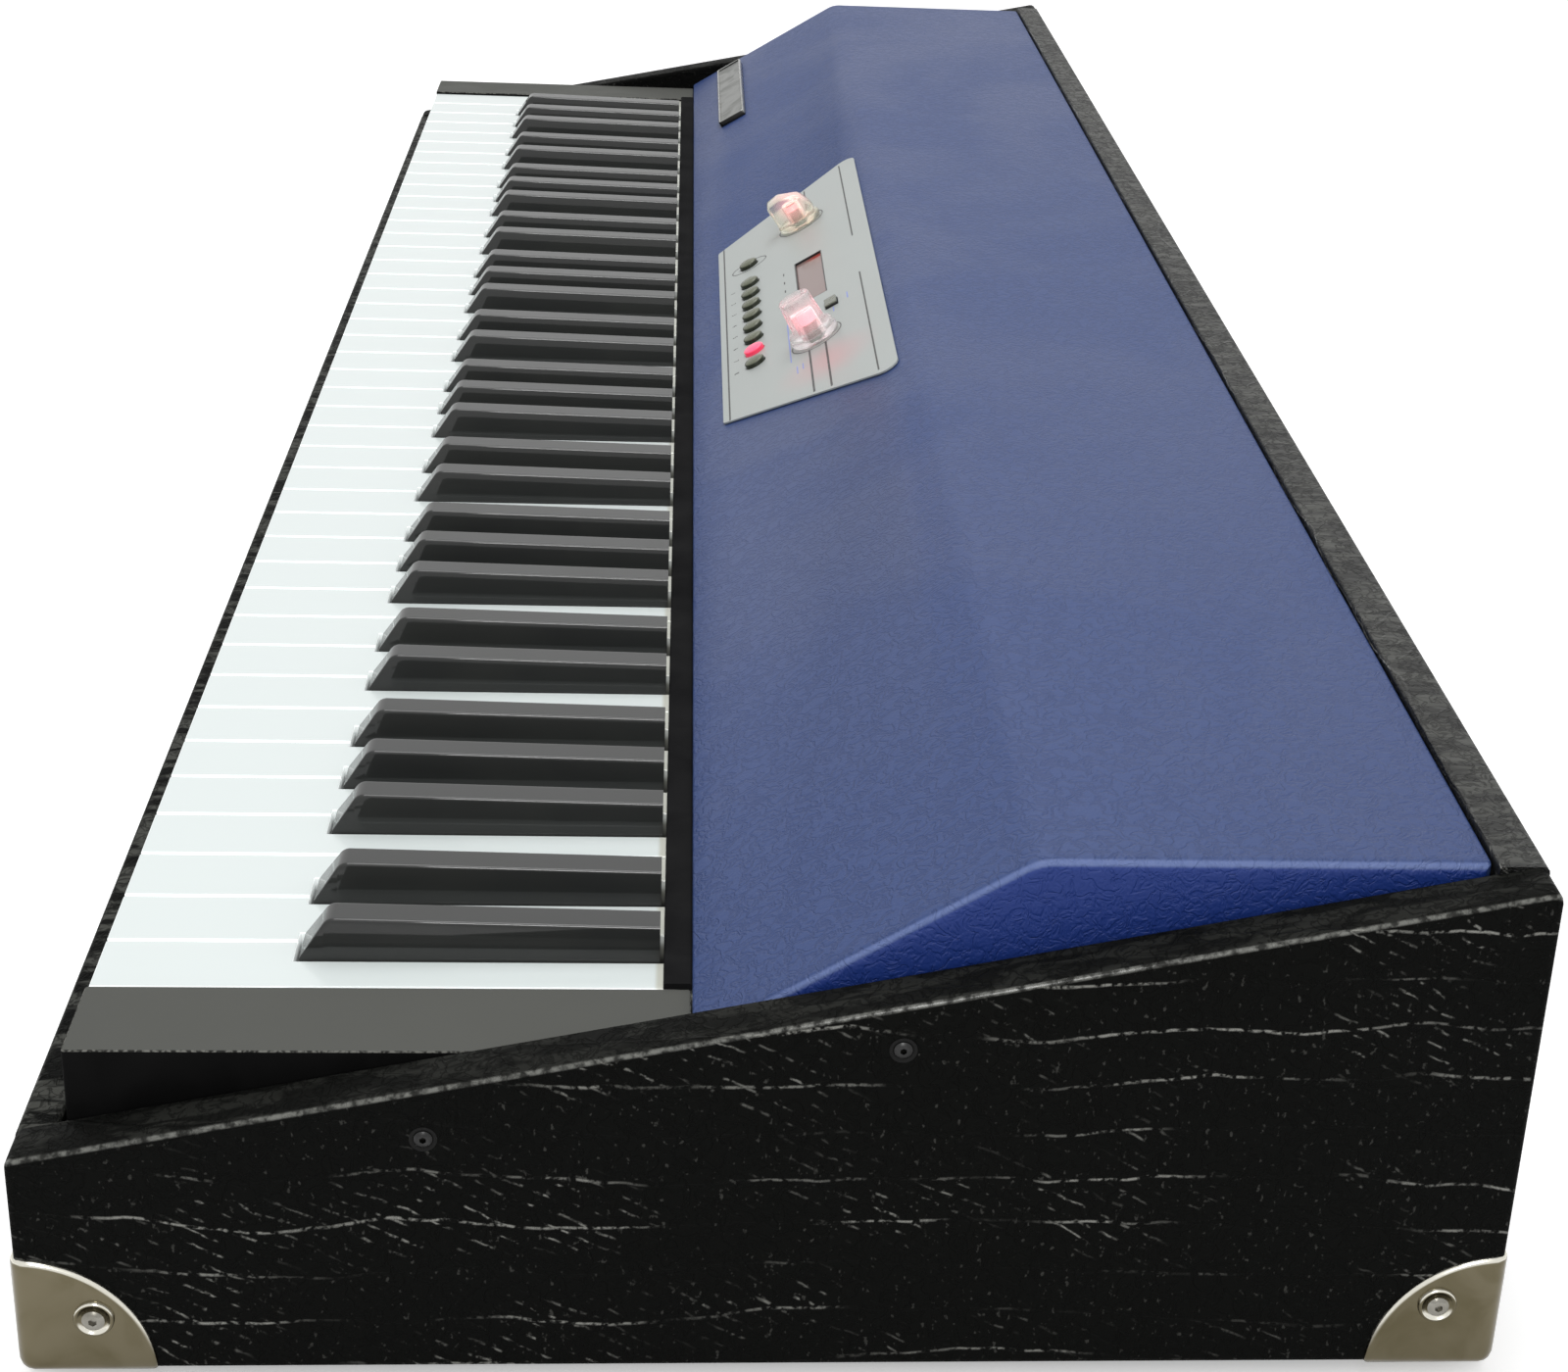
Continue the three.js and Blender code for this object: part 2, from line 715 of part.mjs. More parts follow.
const coverOutline = rounded([
  [coverFront, baseTop, 0],
  [coverRear, baseTop, 0],
  [coverRear, coverTop, 0],
  [ridgeY, coverTop, ridgeRadius],
  [coverFront, coverFrontTop, 0],
], arcSteps);
const innerRidgeY = ridgeY + coverThickness * Math.tan(slopeAngle / 2);
const innerFront = coverFront + coverThickness;
const innerFrontZ = coverFrontTop + (coverThickness * (Math.sin(slopeAngle) - 1)) / Math.cos(slopeAngle);
const roomOutline = rounded([
  [coverFront - overrun, baseTop - overrun, 0],
  [coverRear + overrun, baseTop - overrun, 0],
  [coverRear + overrun, coverTop - coverRearFlange, 0],
  [coverRear - coverThickness, coverTop - coverRearFlange, 0],
  [coverRear - coverThickness, coverTop - coverThickness, 0],
  [innerRidgeY, coverTop - coverThickness, ridgeRadius - coverThickness],
  [innerFront, innerFrontZ, 0],
  [innerFront, coverFrontTop - coverLipHeight, 0],
  [coverFront - overrun, coverFrontTop - coverLipHeight, 0],
], arcSteps);

// Panel, window and holes are laid out on the slope
function trapezoid(setback, frontWidth, frontRadius, run, rearWidth, rearRadius) {
  return rounded([
    [panelCentreX - frontWidth / 2, setback, frontRadius],
    [panelCentreX + frontWidth / 2, setback, frontRadius],
    [panelCentreX + rearWidth / 2, setback + run, rearRadius],
    [panelCentreX - rearWidth / 2, setback + run, rearRadius],
  ], arcSteps);
}

const openingSetback = panelSetback + openingInset;
const openingRun = panelRun - 2 * openingInset;
const openingFrontWidth = panelFrontWidth - 2 * openingSideInset;
const openingOutline = trapezoid(
  openingSetback, openingFrontWidth, 0, openingRun, panelRearWidth - 2 * openingSideInset, 0);
const openingTool = prismZ(openingOutline, [-coverThickness - overrun, overrun]).applyMatrix4(slope.matrix);
piece(piano, 'top_cover', cut(
  prismX(coverOutline, [-coverRight, coverRight]),
  prismX(roomOutline, [coverThickness - coverRight, coverRight - coverThickness]),
  openingTool,
), 'leatherette');

const panelTop = seatGap + panelThickness;
const panelCutSpan = [-overrun, panelTop + overrun];
const buttonPlaces = [firstButtonX];
for (let i = 0; i < buttonRowCount; i += 1) {
  buttonPlaces.push(buttonRowX + i * buttonPitch);
}
const knobPlaces = [valueKnobX, volumeKnobX];

const panelOutline = trapezoid(
  panelSetback, panelFrontWidth, panelFrontRadius, panelRun, panelRearWidth, panelRearRadius);
const menuHole = [menuButtonWidth + 2 * buttonHoleClearance, menuButtonDepth + 2 * buttonHoleClearance];
piece(slope, 'control_panel', cut(
  prismZ(panelOutline, [seatGap, panelTop]),
  ...buttonPlaces.map((x) => cylinder(
    buttonDiameter + 2 * buttonHoleClearance, panelCutSpan, [x, buttonAlong], boreSteps)),
  ...knobPlaces.map((x) => cylinder(
    shaftDiameter + 2 * shaftClearance, panelCutSpan, [x, knobAlong], boreSteps)),
  block(menuButtonX, menuHole[0], menuButtonAlong, menuHole[1], panelCutSpan),
  block(windowX, windowWidth, windowAlong, windowHeight, panelCutSpan),
), 'silver');

piece(slope, 'display_window', block(
  windowX, windowWidth + 2 * displayMargin, windowAlong, windowHeight + 2 * displayMargin,
  [-displayThickness, 0]), 'display');

const badgeX = badgeEndInset + badgeWidth / 2 - coverRight;
const badgeHalf = [badgeWidth / 2, badgeHeight / 2];
piece(slope, 'badge_plate', prismZ(rounded([
  [badgeX - badgeHalf[0], badgeAlong - badgeHalf[1], badgeRadius],
  [badgeX + badgeHalf[0], badgeAlong - badgeHalf[1], badgeRadius],
  [badgeX + badgeHalf[0], badgeAlong + badgeHalf[1], badgeRadius],
  [badgeX - badgeHalf[0], badgeAlong + badgeHalf[1], badgeRadius],
], arcSteps), [seatGap, seatGap + badgeThickness]), 'nickel');

// Buttons: a crowned cap held under the panel by its flange, and a stem down to its switch
const switchTop = switchHeight - boardDrop;
const stemFoot = switchTop + buttonTravel + switchGap;
const buttonRadius = buttonDiameter / 2;

function roundButton(x) {
  const profile = [
    [0, stemFoot],
    [buttonStemWidth / 2, stemFoot],
    [buttonStemWidth / 2, -buttonFlangeThickness],
    [buttonRadius + buttonFlange, -buttonFlangeThickness],
    [buttonRadius + buttonFlange, 0],
    [buttonRadius, 0],
  ];
  for (let step = 0; step <= arcSteps; step += 1) {
    const angle = (Math.PI / 2) * (step / arcSteps);
    const crown = (buttonCrownRise - buttonRimRise) * Math.sin(angle);
    profile.push([step < arcSteps ? buttonRadius * Math.cos(angle) : 0, panelTop + buttonRimRise + crown]);
  }
  return turned(profile, [x, buttonAlong, 0], buttonSteps);
}

buttonPlaces.forEach((x, i) => piece(slope, `panel_button_${i + 1}`, roundButton(x), 'smoked'));

function menuBlock(width, depth, spanN) {
  return block(menuButtonX, width, menuButtonAlong, depth, spanN);
}

piece(slope, 'menu_button', join(
  menuBlock(menuButtonWidth, menuButtonDepth, [-buttonFlangeThickness, panelTop + menuButtonRise]),
  menuBlock(
    menuButtonWidth + 2 * buttonFlange, menuButtonDepth + 2 * buttonFlange, [-buttonFlangeThickness, 0]),
  menuBlock(buttonStemWidth, buttonStemWidth, [stemFoot, -buttonFlangeThickness / 2]),
), 'black');

// Knobs: clear caps on the shafts of their pots
const knobBase = panelTop + knobRunningGap;
const shaftTop = panelTop + shaftReach;
const boreDiameter = shaftDiameter + 2 * shaftClearance;

function shaftBore(x) {
  return cylinder(boreDiameter, [knobBase - overrun, shaftTop + boreCeilingGap], [x, knobAlong], boreSteps);
}

piece(slope, 'value_knob', cut(turned([
  [0, 0],
  [knobBaseDiameter / 2, 0],
  [knobBaseDiameter / 2, valueSkirtHeight],
  [valueBodyDiameter / 2, valueShoulderHeight],
  [valueTopDiameter / 2, valueKnobHeight - valueTopRound],
  [valueTopDiameter / 2 - valueTopRound, valueKnobHeight],
  [0, valueKnobHeight],
], [valueKnobX, knobAlong, knobBase], roundSteps), shaftBore(valueKnobX)), 'clear');

const arch = new THREE.QuadraticBezierCurve(
  new THREE.Vector2(volumeTail, 0),
  new THREE.Vector2(volumeTail, volumeArchHeight),
  new THREE.Vector2(volumeShoulder, volumeShoulderHeight));
const barOutline = [
  [-volumeNose, 0],
  ...arch.getPoints(arcSteps).map((point) => [point.x, point.y]),
  [-volumeCrown, volumeCrownHeight],
  [-volumeNose - volumeNoseLean, volumeNoseHeight],
].map(([along, height]) => [knobAlong + along, knobBase + height]);
const volumeBar = prismX(barOutline, [volumeKnobX - volumeBarWidth / 2, volumeKnobX + volumeBarWidth / 2]);
const volumeDisc = cylinder(
  knobBaseDiameter, [knobBase, knobBase + volumeDiscHeight], [volumeKnobX, knobAlong], roundSteps);
piece(slope, 'volume_knob', cut(join(volumeDisc, volumeBar), shaftBore(volumeKnobX)), 'clear');

// Control board: the pots, switches and display prop stand on it, and pillars hang it from the panel
const boardTop = -boardDrop;
const boardMiddle = boardTop - boardThickness / 2;
const pillarX = openingFrontWidth / 2 - pillarSideInset;
const pillarFront = openingSetback + pillarInset;
const pillarRear = openingSetback + openingRun - pillarInset;
const pillarPlaces = sides.flatMap(([, sign]) => [pillarFront, pillarRear].map(
  (along) => [panelCentreX + sign * pillarX, along]));
piece(slope, 'control_board', join(
  box(
    widened([panelCentreX - pillarX, panelCentreX + pillarX], boardMargin),
    widened([pillarFront, pillarRear], boardMargin),
    [boardTop - boardThickness, boardTop]),
  ...pillarPlaces.map((place) => cylinder(pillarDiameter, [boardMiddle, 0], place, buttonSteps)),
  ...knobPlaces.map((x) => cylinder(
    potDiameter, [boardMiddle, boardTop + potHeight], [x, knobAlong], boreSteps)),
  ...knobPlaces.map((x) => cylinder(shaftDiameter, [boardTop, shaftTop], [x, knobAlong], boreSteps)),
  ...buttonPlaces.map((x) => block(x, switchWidth, buttonAlong, switchWidth, [boardMiddle, switchTop])),
  menuBlock(switchWidth, switchWidth, [boardMiddle, switchTop]),
  block(windowX, displayPropWidth, windowAlong, displayPropHeight,
    [boardMiddle, -displayThickness - seatGap]),
), 'board');

// Main board on four standoffs, with its chips and the power supply
const mainSpanX = [mainBoardX - mainBoardWidth / 2, mainBoardX + mainBoardWidth / 2];
const mainSpanY = [frameRear + mainBoardFrontGap, innerRear - mainBoardRearGap];
const mainFloor = baseTop + standoffHeight;
const mainTop = mainFloor + boardThickness;
const chipY = (mainSpanY[0] + mainSpanY[1]) / 2;
const supplyX = mainSpanX[0] + supplyInset;
const chips = Array.from({ length: chipCount }, (unused, i) => block(
  mainBoardX + i * chipPitch, chipWidth, chipY, chipWidth, [mainFloor, mainTop + chipHeight]));
const standoffs = mainSpanX.flatMap((x, i) => mainSpanY.map((y, j) => cylinder(
  standoffDiameter, [baseTop, mainTop],
  [x + (i ? -standoffInset : standoffInset), y + (j ? -standoffInset : standoffInset)], buttonSteps)));
const supplySpanX = [supplyX, supplyX + supplyWidth];
piece(piano, 'main_board', join(
  box(mainSpanX, mainSpanY, [mainFloor, mainTop]),
  box(supplySpanX, widened(mainSpanY, -supplyInset), [mainFloor, mainTop + supplyHeight]),
  ...chips,
  ...standoffs,
), 'board');

// Connector plate with its socket housing
function socket(x, width, height, depth) {
  return box(
    [plateX + x - width / 2, plateX + x + width / 2],
    [plateFace - depth, plateFace + overrun],
    [plateMiddleZ - height / 2, plateMiddleZ + height / 2]);
}

function roundSockets(count, x, pitch, diameter, depth) {
  return Array.from({ length: count }, (unused, i) => cylinderY(
    diameter, [plateFace - depth, plateFace + overrun], [plateX + x + i * pitch, plateMiddleZ], boreSteps));
}

const rockerWellLength = rockerLength + 2 * rockerEndClearance;
piece(piano, 'connector_plate', cut(
  join(
    box(plateSpanX, [plateBack, plateFace], plateSpanZ),
    box(housingSpanX, [plateBack - housingDepth, plateFace], housingSpanZ)),
  socket(inletX, inletWidth, inletHeight, inletDepth),
  socket(rockerX, rockerWellLength, rockerHeight + 2 * rockerSideClearance, rockerWellDepth),
  socket(dataPortX, dataPortWidth, dataPortHeight, dataPortDepth),
  ...roundSockets(dinCount, dinX, dinPitch, dinDiameter, dinDepth),
  ...roundSockets(jackCount, jackX, jackPitch, jackDiameter, jackDepth),
), 'plate');

// Power rocker, tilted about its pivot to its off side
const rockerPivot = new THREE.Group();
rockerPivot.position.set(plateX + rockerX, plateFace - rockerPivotDepth, plateMiddleZ);
rockerPivot.rotation.z = -rockerTilt;
piano.add(rockerPivot);
const rockerEnd = rockerLength / 2;
piece(rockerPivot, 'power_switch', prismZ([
  [-rockerWaist / 2, -rockerDepth],
  [rockerWaist / 2, -rockerDepth],
  [rockerEnd, -rockerPivotDepth],
  [rockerEnd, rockerPivotDepth],
  [0, rockerPivotDepth - rockerDish],
  [-rockerEnd, rockerPivotDepth],
  [-rockerEnd, -rockerPivotDepth],
], [-rockerHeight / 2, rockerHeight / 2]), 'black');

export default piano;
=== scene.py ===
# %% [markdown]
# # A stage piano, finished for its portrait
# The construction of this instrument is already fixed: a covered wooden case, tilting keys, a folded
# cover with a control panel, and a plate of sockets at the back. This lesson gives each piece its finish.
# Where a piece of the frame has sharp edges, a rounded surface takes its place at the same spot, and
# small trim such as screws and printed lines is added. Nothing of the frame is moved.

# %% Load the frame
import json
import math

import bpy
import numpy as np
from mathutils import Matrix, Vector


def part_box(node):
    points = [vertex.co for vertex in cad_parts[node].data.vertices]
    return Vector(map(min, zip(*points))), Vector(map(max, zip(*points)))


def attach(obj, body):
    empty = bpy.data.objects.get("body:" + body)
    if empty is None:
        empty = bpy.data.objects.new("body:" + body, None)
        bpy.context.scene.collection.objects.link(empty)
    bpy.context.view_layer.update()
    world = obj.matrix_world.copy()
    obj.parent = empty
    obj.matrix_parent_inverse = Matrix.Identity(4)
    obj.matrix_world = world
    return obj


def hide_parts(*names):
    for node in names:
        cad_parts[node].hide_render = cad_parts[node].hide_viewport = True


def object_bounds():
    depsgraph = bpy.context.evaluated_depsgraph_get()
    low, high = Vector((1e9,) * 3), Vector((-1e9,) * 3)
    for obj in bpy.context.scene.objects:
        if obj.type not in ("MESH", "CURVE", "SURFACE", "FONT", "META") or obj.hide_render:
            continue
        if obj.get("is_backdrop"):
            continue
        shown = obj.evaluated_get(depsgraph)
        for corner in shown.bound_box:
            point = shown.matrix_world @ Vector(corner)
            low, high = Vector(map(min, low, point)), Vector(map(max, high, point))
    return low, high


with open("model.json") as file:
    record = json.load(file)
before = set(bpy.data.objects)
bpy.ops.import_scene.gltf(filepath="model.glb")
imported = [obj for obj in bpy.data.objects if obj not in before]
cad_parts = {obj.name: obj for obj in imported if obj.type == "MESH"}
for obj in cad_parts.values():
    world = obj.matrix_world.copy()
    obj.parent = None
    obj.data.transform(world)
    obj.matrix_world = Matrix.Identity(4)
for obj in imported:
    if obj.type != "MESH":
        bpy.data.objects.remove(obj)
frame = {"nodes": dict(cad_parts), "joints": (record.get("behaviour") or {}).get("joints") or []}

cad_box = [list(corner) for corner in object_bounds()]
mm = 0.001

# %% [markdown]
# ## Surfaces from arrays
# Almost every hard piece of an instrument is one of three things: a plate cut from sheet, a turned part,
# or a profile carried along a path. All three are rings of points with a skin over them, so one helper
# makes the skin. It could be done with the modelling tools, point by point, but an array keeps every
# size a number that can be read and changed. A part is its points, its four-sided faces and its end caps.

# %% The skin over rings of points
def unit(vectors):
    """Vectors divided by their own length."""
    return vectors / np.linalg.norm(vectors, axis=-1, keepdims=True)


def loft(rings, around=False):
    """A skin over closed rings, given as an array (rings, points, 3).

    Face k of a row joins points k and k + 1 of one ring to the same two of the next ring. The first and
    the last ring are filled, so the part is closed, or joined to each other where the rings go around.
    """
    count, size = rings.shape[:2]
    here = np.arange(size)
    after = np.roll(here, -1)
    row = np.arange(count if around else count - 1)[:, None] * size
    next_row = (row + size) % (count * size)
    faces = np.stack([row + here, row + after, next_row + after, next_row + here], -1)
    caps = [] if around else [here[::-1], here + (count - 1) * size]
    return rings.reshape(-1, 3), faces.reshape(-1, 4), caps


def placed(part, origin=(0, 0, 0), u=(1, 0, 0), v=(0, 1, 0)):
    """The same part with its x, y and z turned to run along u, v and u cross v, and moved to an origin."""
    points, faces, caps = part
    axes = np.array([u, v, np.cross(u, v)], float)
    return points @ axes + np.asarray(origin, float), faces, caps


# %% [markdown]
# ## Outlines and edges
# Nothing on a real object has a perfectly sharp edge, and it is the rounded edge that catches the light.
# An outline gets arcs at its corners, and a plate gets the same arc where its face turns into its side.
# A ring just inside the arc keeps the shading of the flat face flat.

# %% Rounded outlines and rounded plates
def rounded(corners, radii, steps=4, closed=True):
    """An outline with an arc at every corner.

    The centre of an arc lies on the corner's bisector, radius / sin(half the corner's angle) away, and its
    points turn evenly from one side's touching point to the other's.
    """
    corners = np.asarray(corners, float)
    reach = np.maximum(np.broadcast_to(radii, len(corners)), 1e-6)[:, None]
    back = unit(np.roll(corners, 1, 0) - corners)
    ahead = unit(np.roll(corners, -1, 0) - corners)
    half = np.arccos(np.clip((back * ahead).sum(1, keepdims=True), -1, 1)) / 2
    centre = corners + unit(back + ahead) * reach / np.sin(half)
    start = corners + back * reach / np.tan(half) - centre
    stop = corners + ahead * reach / np.tan(half) - centre
    sweep = np.maximum(np.pi - 2 * half, 1e-4)[:, :, None]
    share = np.linspace(0, 1, steps + 1)[None, :, None]
    arcs = np.sin((1 - share) * sweep) * start[:, None] + np.sin(share * sweep) * stop[:, None]
    points = (centre[:, None] + arcs / np.sin(sweep)).reshape(-1, 2)
    return points if closed else np.concatenate([corners[:1], points[steps + 1:-steps - 1], corners[-1:]])


def inward(outline, distance):
    """An outline that runs anticlockwise, with each side moved inwards by a distance."""
    along = unit(np.roll(outline, -1, 0) - outline)
    normal = np.stack([-along[:, 1], along[:, 0]], 1)
    before = np.roll(normal, 1, 0)
    return outline + distance * (normal + before) / (1 + (normal * before).sum(1, keepdims=True))


def stacked(outline, insets, levels):
    """Rings over one outline: each is drawn in by its inset and lies at its level."""
    return np.stack([np.c_[inward(outline, inset), np.full(len(outline), level)]
                     for inset, level in zip(insets, levels)])


def carried(section, stations):
    """Rings along x: a cross-section in y and z, repeated at every station."""
    rings = np.empty((len(stations), len(section), 3))
    rings[..., 0] = np.asarray(stations)[:, None]
    rings[..., 1:] = section
    return rings


SUPPORT = 1.3


def rounded_rim(edge, steps, support=SUPPORT):
    """How far a rounded rim is drawn in and how high it stands, from the face's middle to its side.

    At the angle t of the quarter circle the outline is drawn in by edge * (1 - sin t), at a height of
    edge * (1 - cos t) from the face. One ring further in, by the support, keeps the face flat.
    """
    turn = np.linspace(0, np.pi / 2, steps + 1)
    drawn_in = np.concatenate([[support * edge], edge * (1 - np.sin(turn))])
    return drawn_in, np.concatenate([[0], edge * (1 - np.cos(turn))])


def plate(outline, low, high, edge, steps=3):
    """A plate over an anticlockwise outline, from one height to another, with rounded rims.

    The outline's own corners are rounder than SUPPORT * edge.
    """
    drawn_in, height = rounded_rim(edge, steps)
    levels = np.concatenate([low + height, high - height[::-1]])
    return loft(stacked(outline, np.concatenate([drawn_in, drawn_in[::-1]]), levels))


def rectangle(x_span, y_span, radius=0.6 * mm, steps=3):
    """A rectangle with rounded corners, from its lower left one. Each may have its own radius."""
    (x0, x1), (y0, y1) = x_span, y_span
    return rounded([(x0, y0), (x1, y0), (x1, y1), (x0, y1)], radius, steps)


# %% Turned parts
TURN_STEPS = 40


def turned(profile, steps=TURN_STEPS, around=False):
    """A turned part: every (radius, height) point of a profile becomes a circle about the z axis.

    Its ends are filled, or its last circle is joined to its first one where the profile goes around.
    """
    angle = np.linspace(0, 2 * np.pi, steps, endpoint=False)
    circle = np.stack([np.cos(angle), np.sin(angle)], 1)
    profile = np.asarray(profile, float)
    flat = profile[:, None, :1] * circle[None]
    height = np.broadcast_to(profile[:, None, 1:], flat[..., :1].shape)
    return loft(np.concatenate([flat, height], -1), around)


def hexagon_radius(angle, flat):
    """The radius of a hexagon whose flats stand this far out: flat / cos(angle to the nearest flat)."""
    to_flat = (angle + np.pi / 6) % (np.pi / 3) - np.pi / 6
    return flat / np.cos(to_flat)


# %% [markdown]
# ## From arrays to pieces
# A finished piece is a mesh object that sits at the origin with its place in its points, rides on a body
# of the frame, and names the node it stands for. One helper does all of that, so no piece is forgotten.

# %% Put parts into the scene
SHARP_ANGLE = math.radians(48)
made = []


def linked(name, data):
    """A new object of the scene."""
    item = bpy.data.objects.new(name, data)
    bpy.context.scene.collection.objects.link(item)
    return item


def make(name, parts, finish, body="case", nodes=()):
    """Joins parts into one smooth mesh object that rides on a body and stands for nodes of the frame."""
    starts = np.cumsum([0] + [len(part[0]) for part in parts[:-1]])
    points = np.concatenate([part[0] for part in parts])
    faces = [face for start, part in zip(starts, parts) for face in (part[1] + start).tolist()]
    caps = [(cap + start).tolist() for start, part in zip(starts, parts) for cap in part[2]]
    mesh = bpy.data.meshes.new(name)
    mesh.from_pydata(points.tolist(), [], faces + caps)
    mesh.shade_smooth()
    mesh.set_sharp_from_angle(angle=SHARP_ANGLE)
    return adopt(linked(name, mesh), finish, body, nodes)


def adopt(piece, finish, body, nodes=()):
    """Gives a new object its finish and ties it to the frame."""
    piece.data.materials.clear()
    piece.data.materials.append(finish)
    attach(piece, body)
    if nodes:
        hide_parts(*nodes)
    made.append(piece.name)
    return piece


def spans(node):
    """The lowest and highest value of a frame node along x, along y and along z."""
    return list(zip(*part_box(node)))


def span(node, axis):
    """The lowest and highest value of a frame node along one axis."""
    return spans(node)[axis]


def corners_of(node):
    """The corner points of a frame node."""
    mesh = frame["nodes"][node].data
    places = np.empty(len(mesh.vertices) * 3, np.float32)
    mesh.vertices.foreach_get("co", places)
    return places.reshape(-1, 3)


def reach(node, direction):
    """The lowest and highest value of a frame node along any direction."""
    along = corners_of(node) @ direction
    return along.min(), along.max()


# %% [markdown]
# Some pieces of the frame have just the right form, such as the white keys with their notches. A copy of
# the frame's mesh is merged, its flat faces are joined again, and a Bevel rounds its edges. Weighted
# normals then keep the large faces flat beside the small rounded ones.

# %% Round the edges of a copied node
import bmesh

EDGE_ANGLE = math.radians(25)
FLAT_ANGLE = math.radians(0.5)
MERGED_AT = 0.001


def softened(name, node, width, finish, body="case", segments=2):
    """A copy of a frame node with merged points and rounded edges, which stands for that node."""
    source = frame["nodes"][node].data
    corners = np.empty(len(source.polygons) * 3, np.int32)
    source.polygons.foreach_get("vertices", corners)
    grid, index = np.unique(np.round(corners_of(node) / (MERGED_AT * mm)), axis=0, return_inverse=True)
    mesh = bpy.data.meshes.new(name)
    mesh.from_pydata((grid * MERGED_AT * mm).tolist(), [], index.ravel()[corners].reshape(-1, 3).tolist())
    work = bmesh.new()
    work.from_mesh(mesh)
    bmesh.ops.dissolve_limit(work, angle_limit=FLAT_ANGLE, verts=work.verts, edges=work.edges)
    work.to_mesh(mesh)
    work.free()
    mesh.shade_smooth()
    piece = adopt(linked(name, mesh), finish, body, [node])
    bevel = piece.modifiers.new("rounding", "BEVEL")
    bevel.width, bevel.segments, bevel.limit_method, bevel.angle_limit = width, segments, "ANGLE", EDGE_ANGLE
    piece.modifiers.new("flat faces", "WEIGHTED_NORMAL").keep_sharp = True
    return piece


# %% [markdown]
# ## Places that pieces share
# The frame says where everything is, so the lesson reads its key places from it instead of repeating them.
# The control panel lies on a slope. The menu button slides at right angles to that slope, so the axis of
# its joint gives the slope's direction.

# %% Key places
front, rear = span("left_cheek", 1)
underside, case_top = span("left_cheek", 2)
right = span("right_cheek", 0)[1]
SIDES = (("left", -right), ("right", right))
ENDS = (("front", front), ("rear", rear))
rail_top = span("front_rail", 2)[1]
key_top = span("white_key_E7", 2)[1]
key_front = span("white_key_E7", 1)[0]
cover_front, cover_rear = span("top_cover", 1)
cover_right, cover_top = span("top_cover", 0)[1], span("top_cover", 2)[1]
base_top = span("base_board", 2)[1]

COVER_FRONT_RISE = 4 * mm
joints = {joint["name"]: joint for joint in frame["joints"]}
slope_normal = -np.array(joints["menu_button_press"]["axis"])
slope_up = np.array([0, slope_normal[2], -slope_normal[1]])
slope_origin = np.array([0, cover_front, key_top + COVER_FRONT_RISE])
slope_foot, along_foot = float(slope_origin @ slope_normal), float(slope_origin @ slope_up)


def on_slope(part, x=0, along=0, height=0):
    """A part laid on the slope: x to the right, y up the slope, z away from it."""
    origin = slope_origin + np.array([x, 0, 0]) + along * slope_up + height * slope_normal
    return placed(part, origin, (1, 0, 0), slope_up)


def upright_plate(outline, low_x, high_x, edge):
    """A plate whose outline lies in y and z, from one x to another."""
    return placed(plate(outline, low_x, high_x, edge), u=(0, 1, 0), v=(0, 0, 1))


SLOPE_ANGLE = math.atan2(slope_up[2], slope_up[1])
print("slope:", round(math.degrees(SLOPE_ANGLE), 1), "degrees; keys at", round(key_top / mm, 1), "mm")

# %% [markdown]
# ## The camera
# The photograph was taken from the right end, a little above the cover, with the keys running away to the
# left. The camera stands where the joints of the keys and the edges of the case line up with it. The
# picture is the right part of a larger frame, which is what the two shifts say.

# %% Set up the camera
CAMERA_PLACE = (1104.52 * mm, -26.69 * mm, 451.81 * mm)
CAMERA_YAW, CAMERA_PITCH, CAMERA_ROLL = 0.0859, 0.4207, 0.0502
FOCAL_PIXELS = 2766.19
CENTRE_PIXELS = (907.155, 672.440)
PICTURE_PIXELS = (1600, 1400)

camera = linked("camera", bpy.data.cameras.new("camera"))
bpy.context.scene.camera = camera
ahead = np.array([
    -math.cos(CAMERA_PITCH) * math.cos(CAMERA_YAW),
    math.cos(CAMERA_PITCH) * math.sin(CAMERA_YAW),
    -math.sin(CAMERA_PITCH),
])
level = unit(np.cross(ahead, (0, 0, 1)))
upright = np.cross(level, ahead)
turn_cos, turn_sin = math.cos(CAMERA_ROLL), math.sin(CAMERA_ROLL)
to_right = turn_cos * level + turn_sin * upright
to_top = turn_cos * upright - turn_sin * level
camera.location = CAMERA_PLACE
camera.rotation_mode = "QUATERNION"
camera.rotation_quaternion = Matrix(np.column_stack([to_right, to_top, -ahead])).to_quaternion()
camera.data.sensor_width = 36
camera.data.lens = camera.data.sensor_width * FOCAL_PIXELS / PICTURE_PIXELS[0]
camera.data.shift_x = (PICTURE_PIXELS[0] / 2 - CENTRE_PIXELS[0]) / PICTURE_PIXELS[0]
camera.data.shift_y = (CENTRE_PIXELS[1] - PICTURE_PIXELS[1] / 2) / PICTURE_PIXELS[0]
camera.data.clip_start, camera.data.clip_end = 0.01, 50
print("lens:", round(camera.data.lens, 1), "mm")

# %% [markdown]
# ## Building materials out of nodes
# A finish is colour, roughness and relief that change over the surface. Nodes are added by one short
# helper. What several finishes share is a node group, made once, that puts out plain values.

# %% Node helpers
def add(tree, kind, inputs=None, **settings):
    """Adds a shader node, applies its settings, and fills or links its inputs."""
    node = tree.nodes.new("ShaderNode" + kind)
    for key, value in settings.items():
        setattr(node, key, value)
    for key, value in (inputs or {}).items():
        if isinstance(value, bpy.types.NodeSocket):
            tree.links.new(value, node.inputs[key])
        else:
            node.inputs[key].default_value = value
    return node


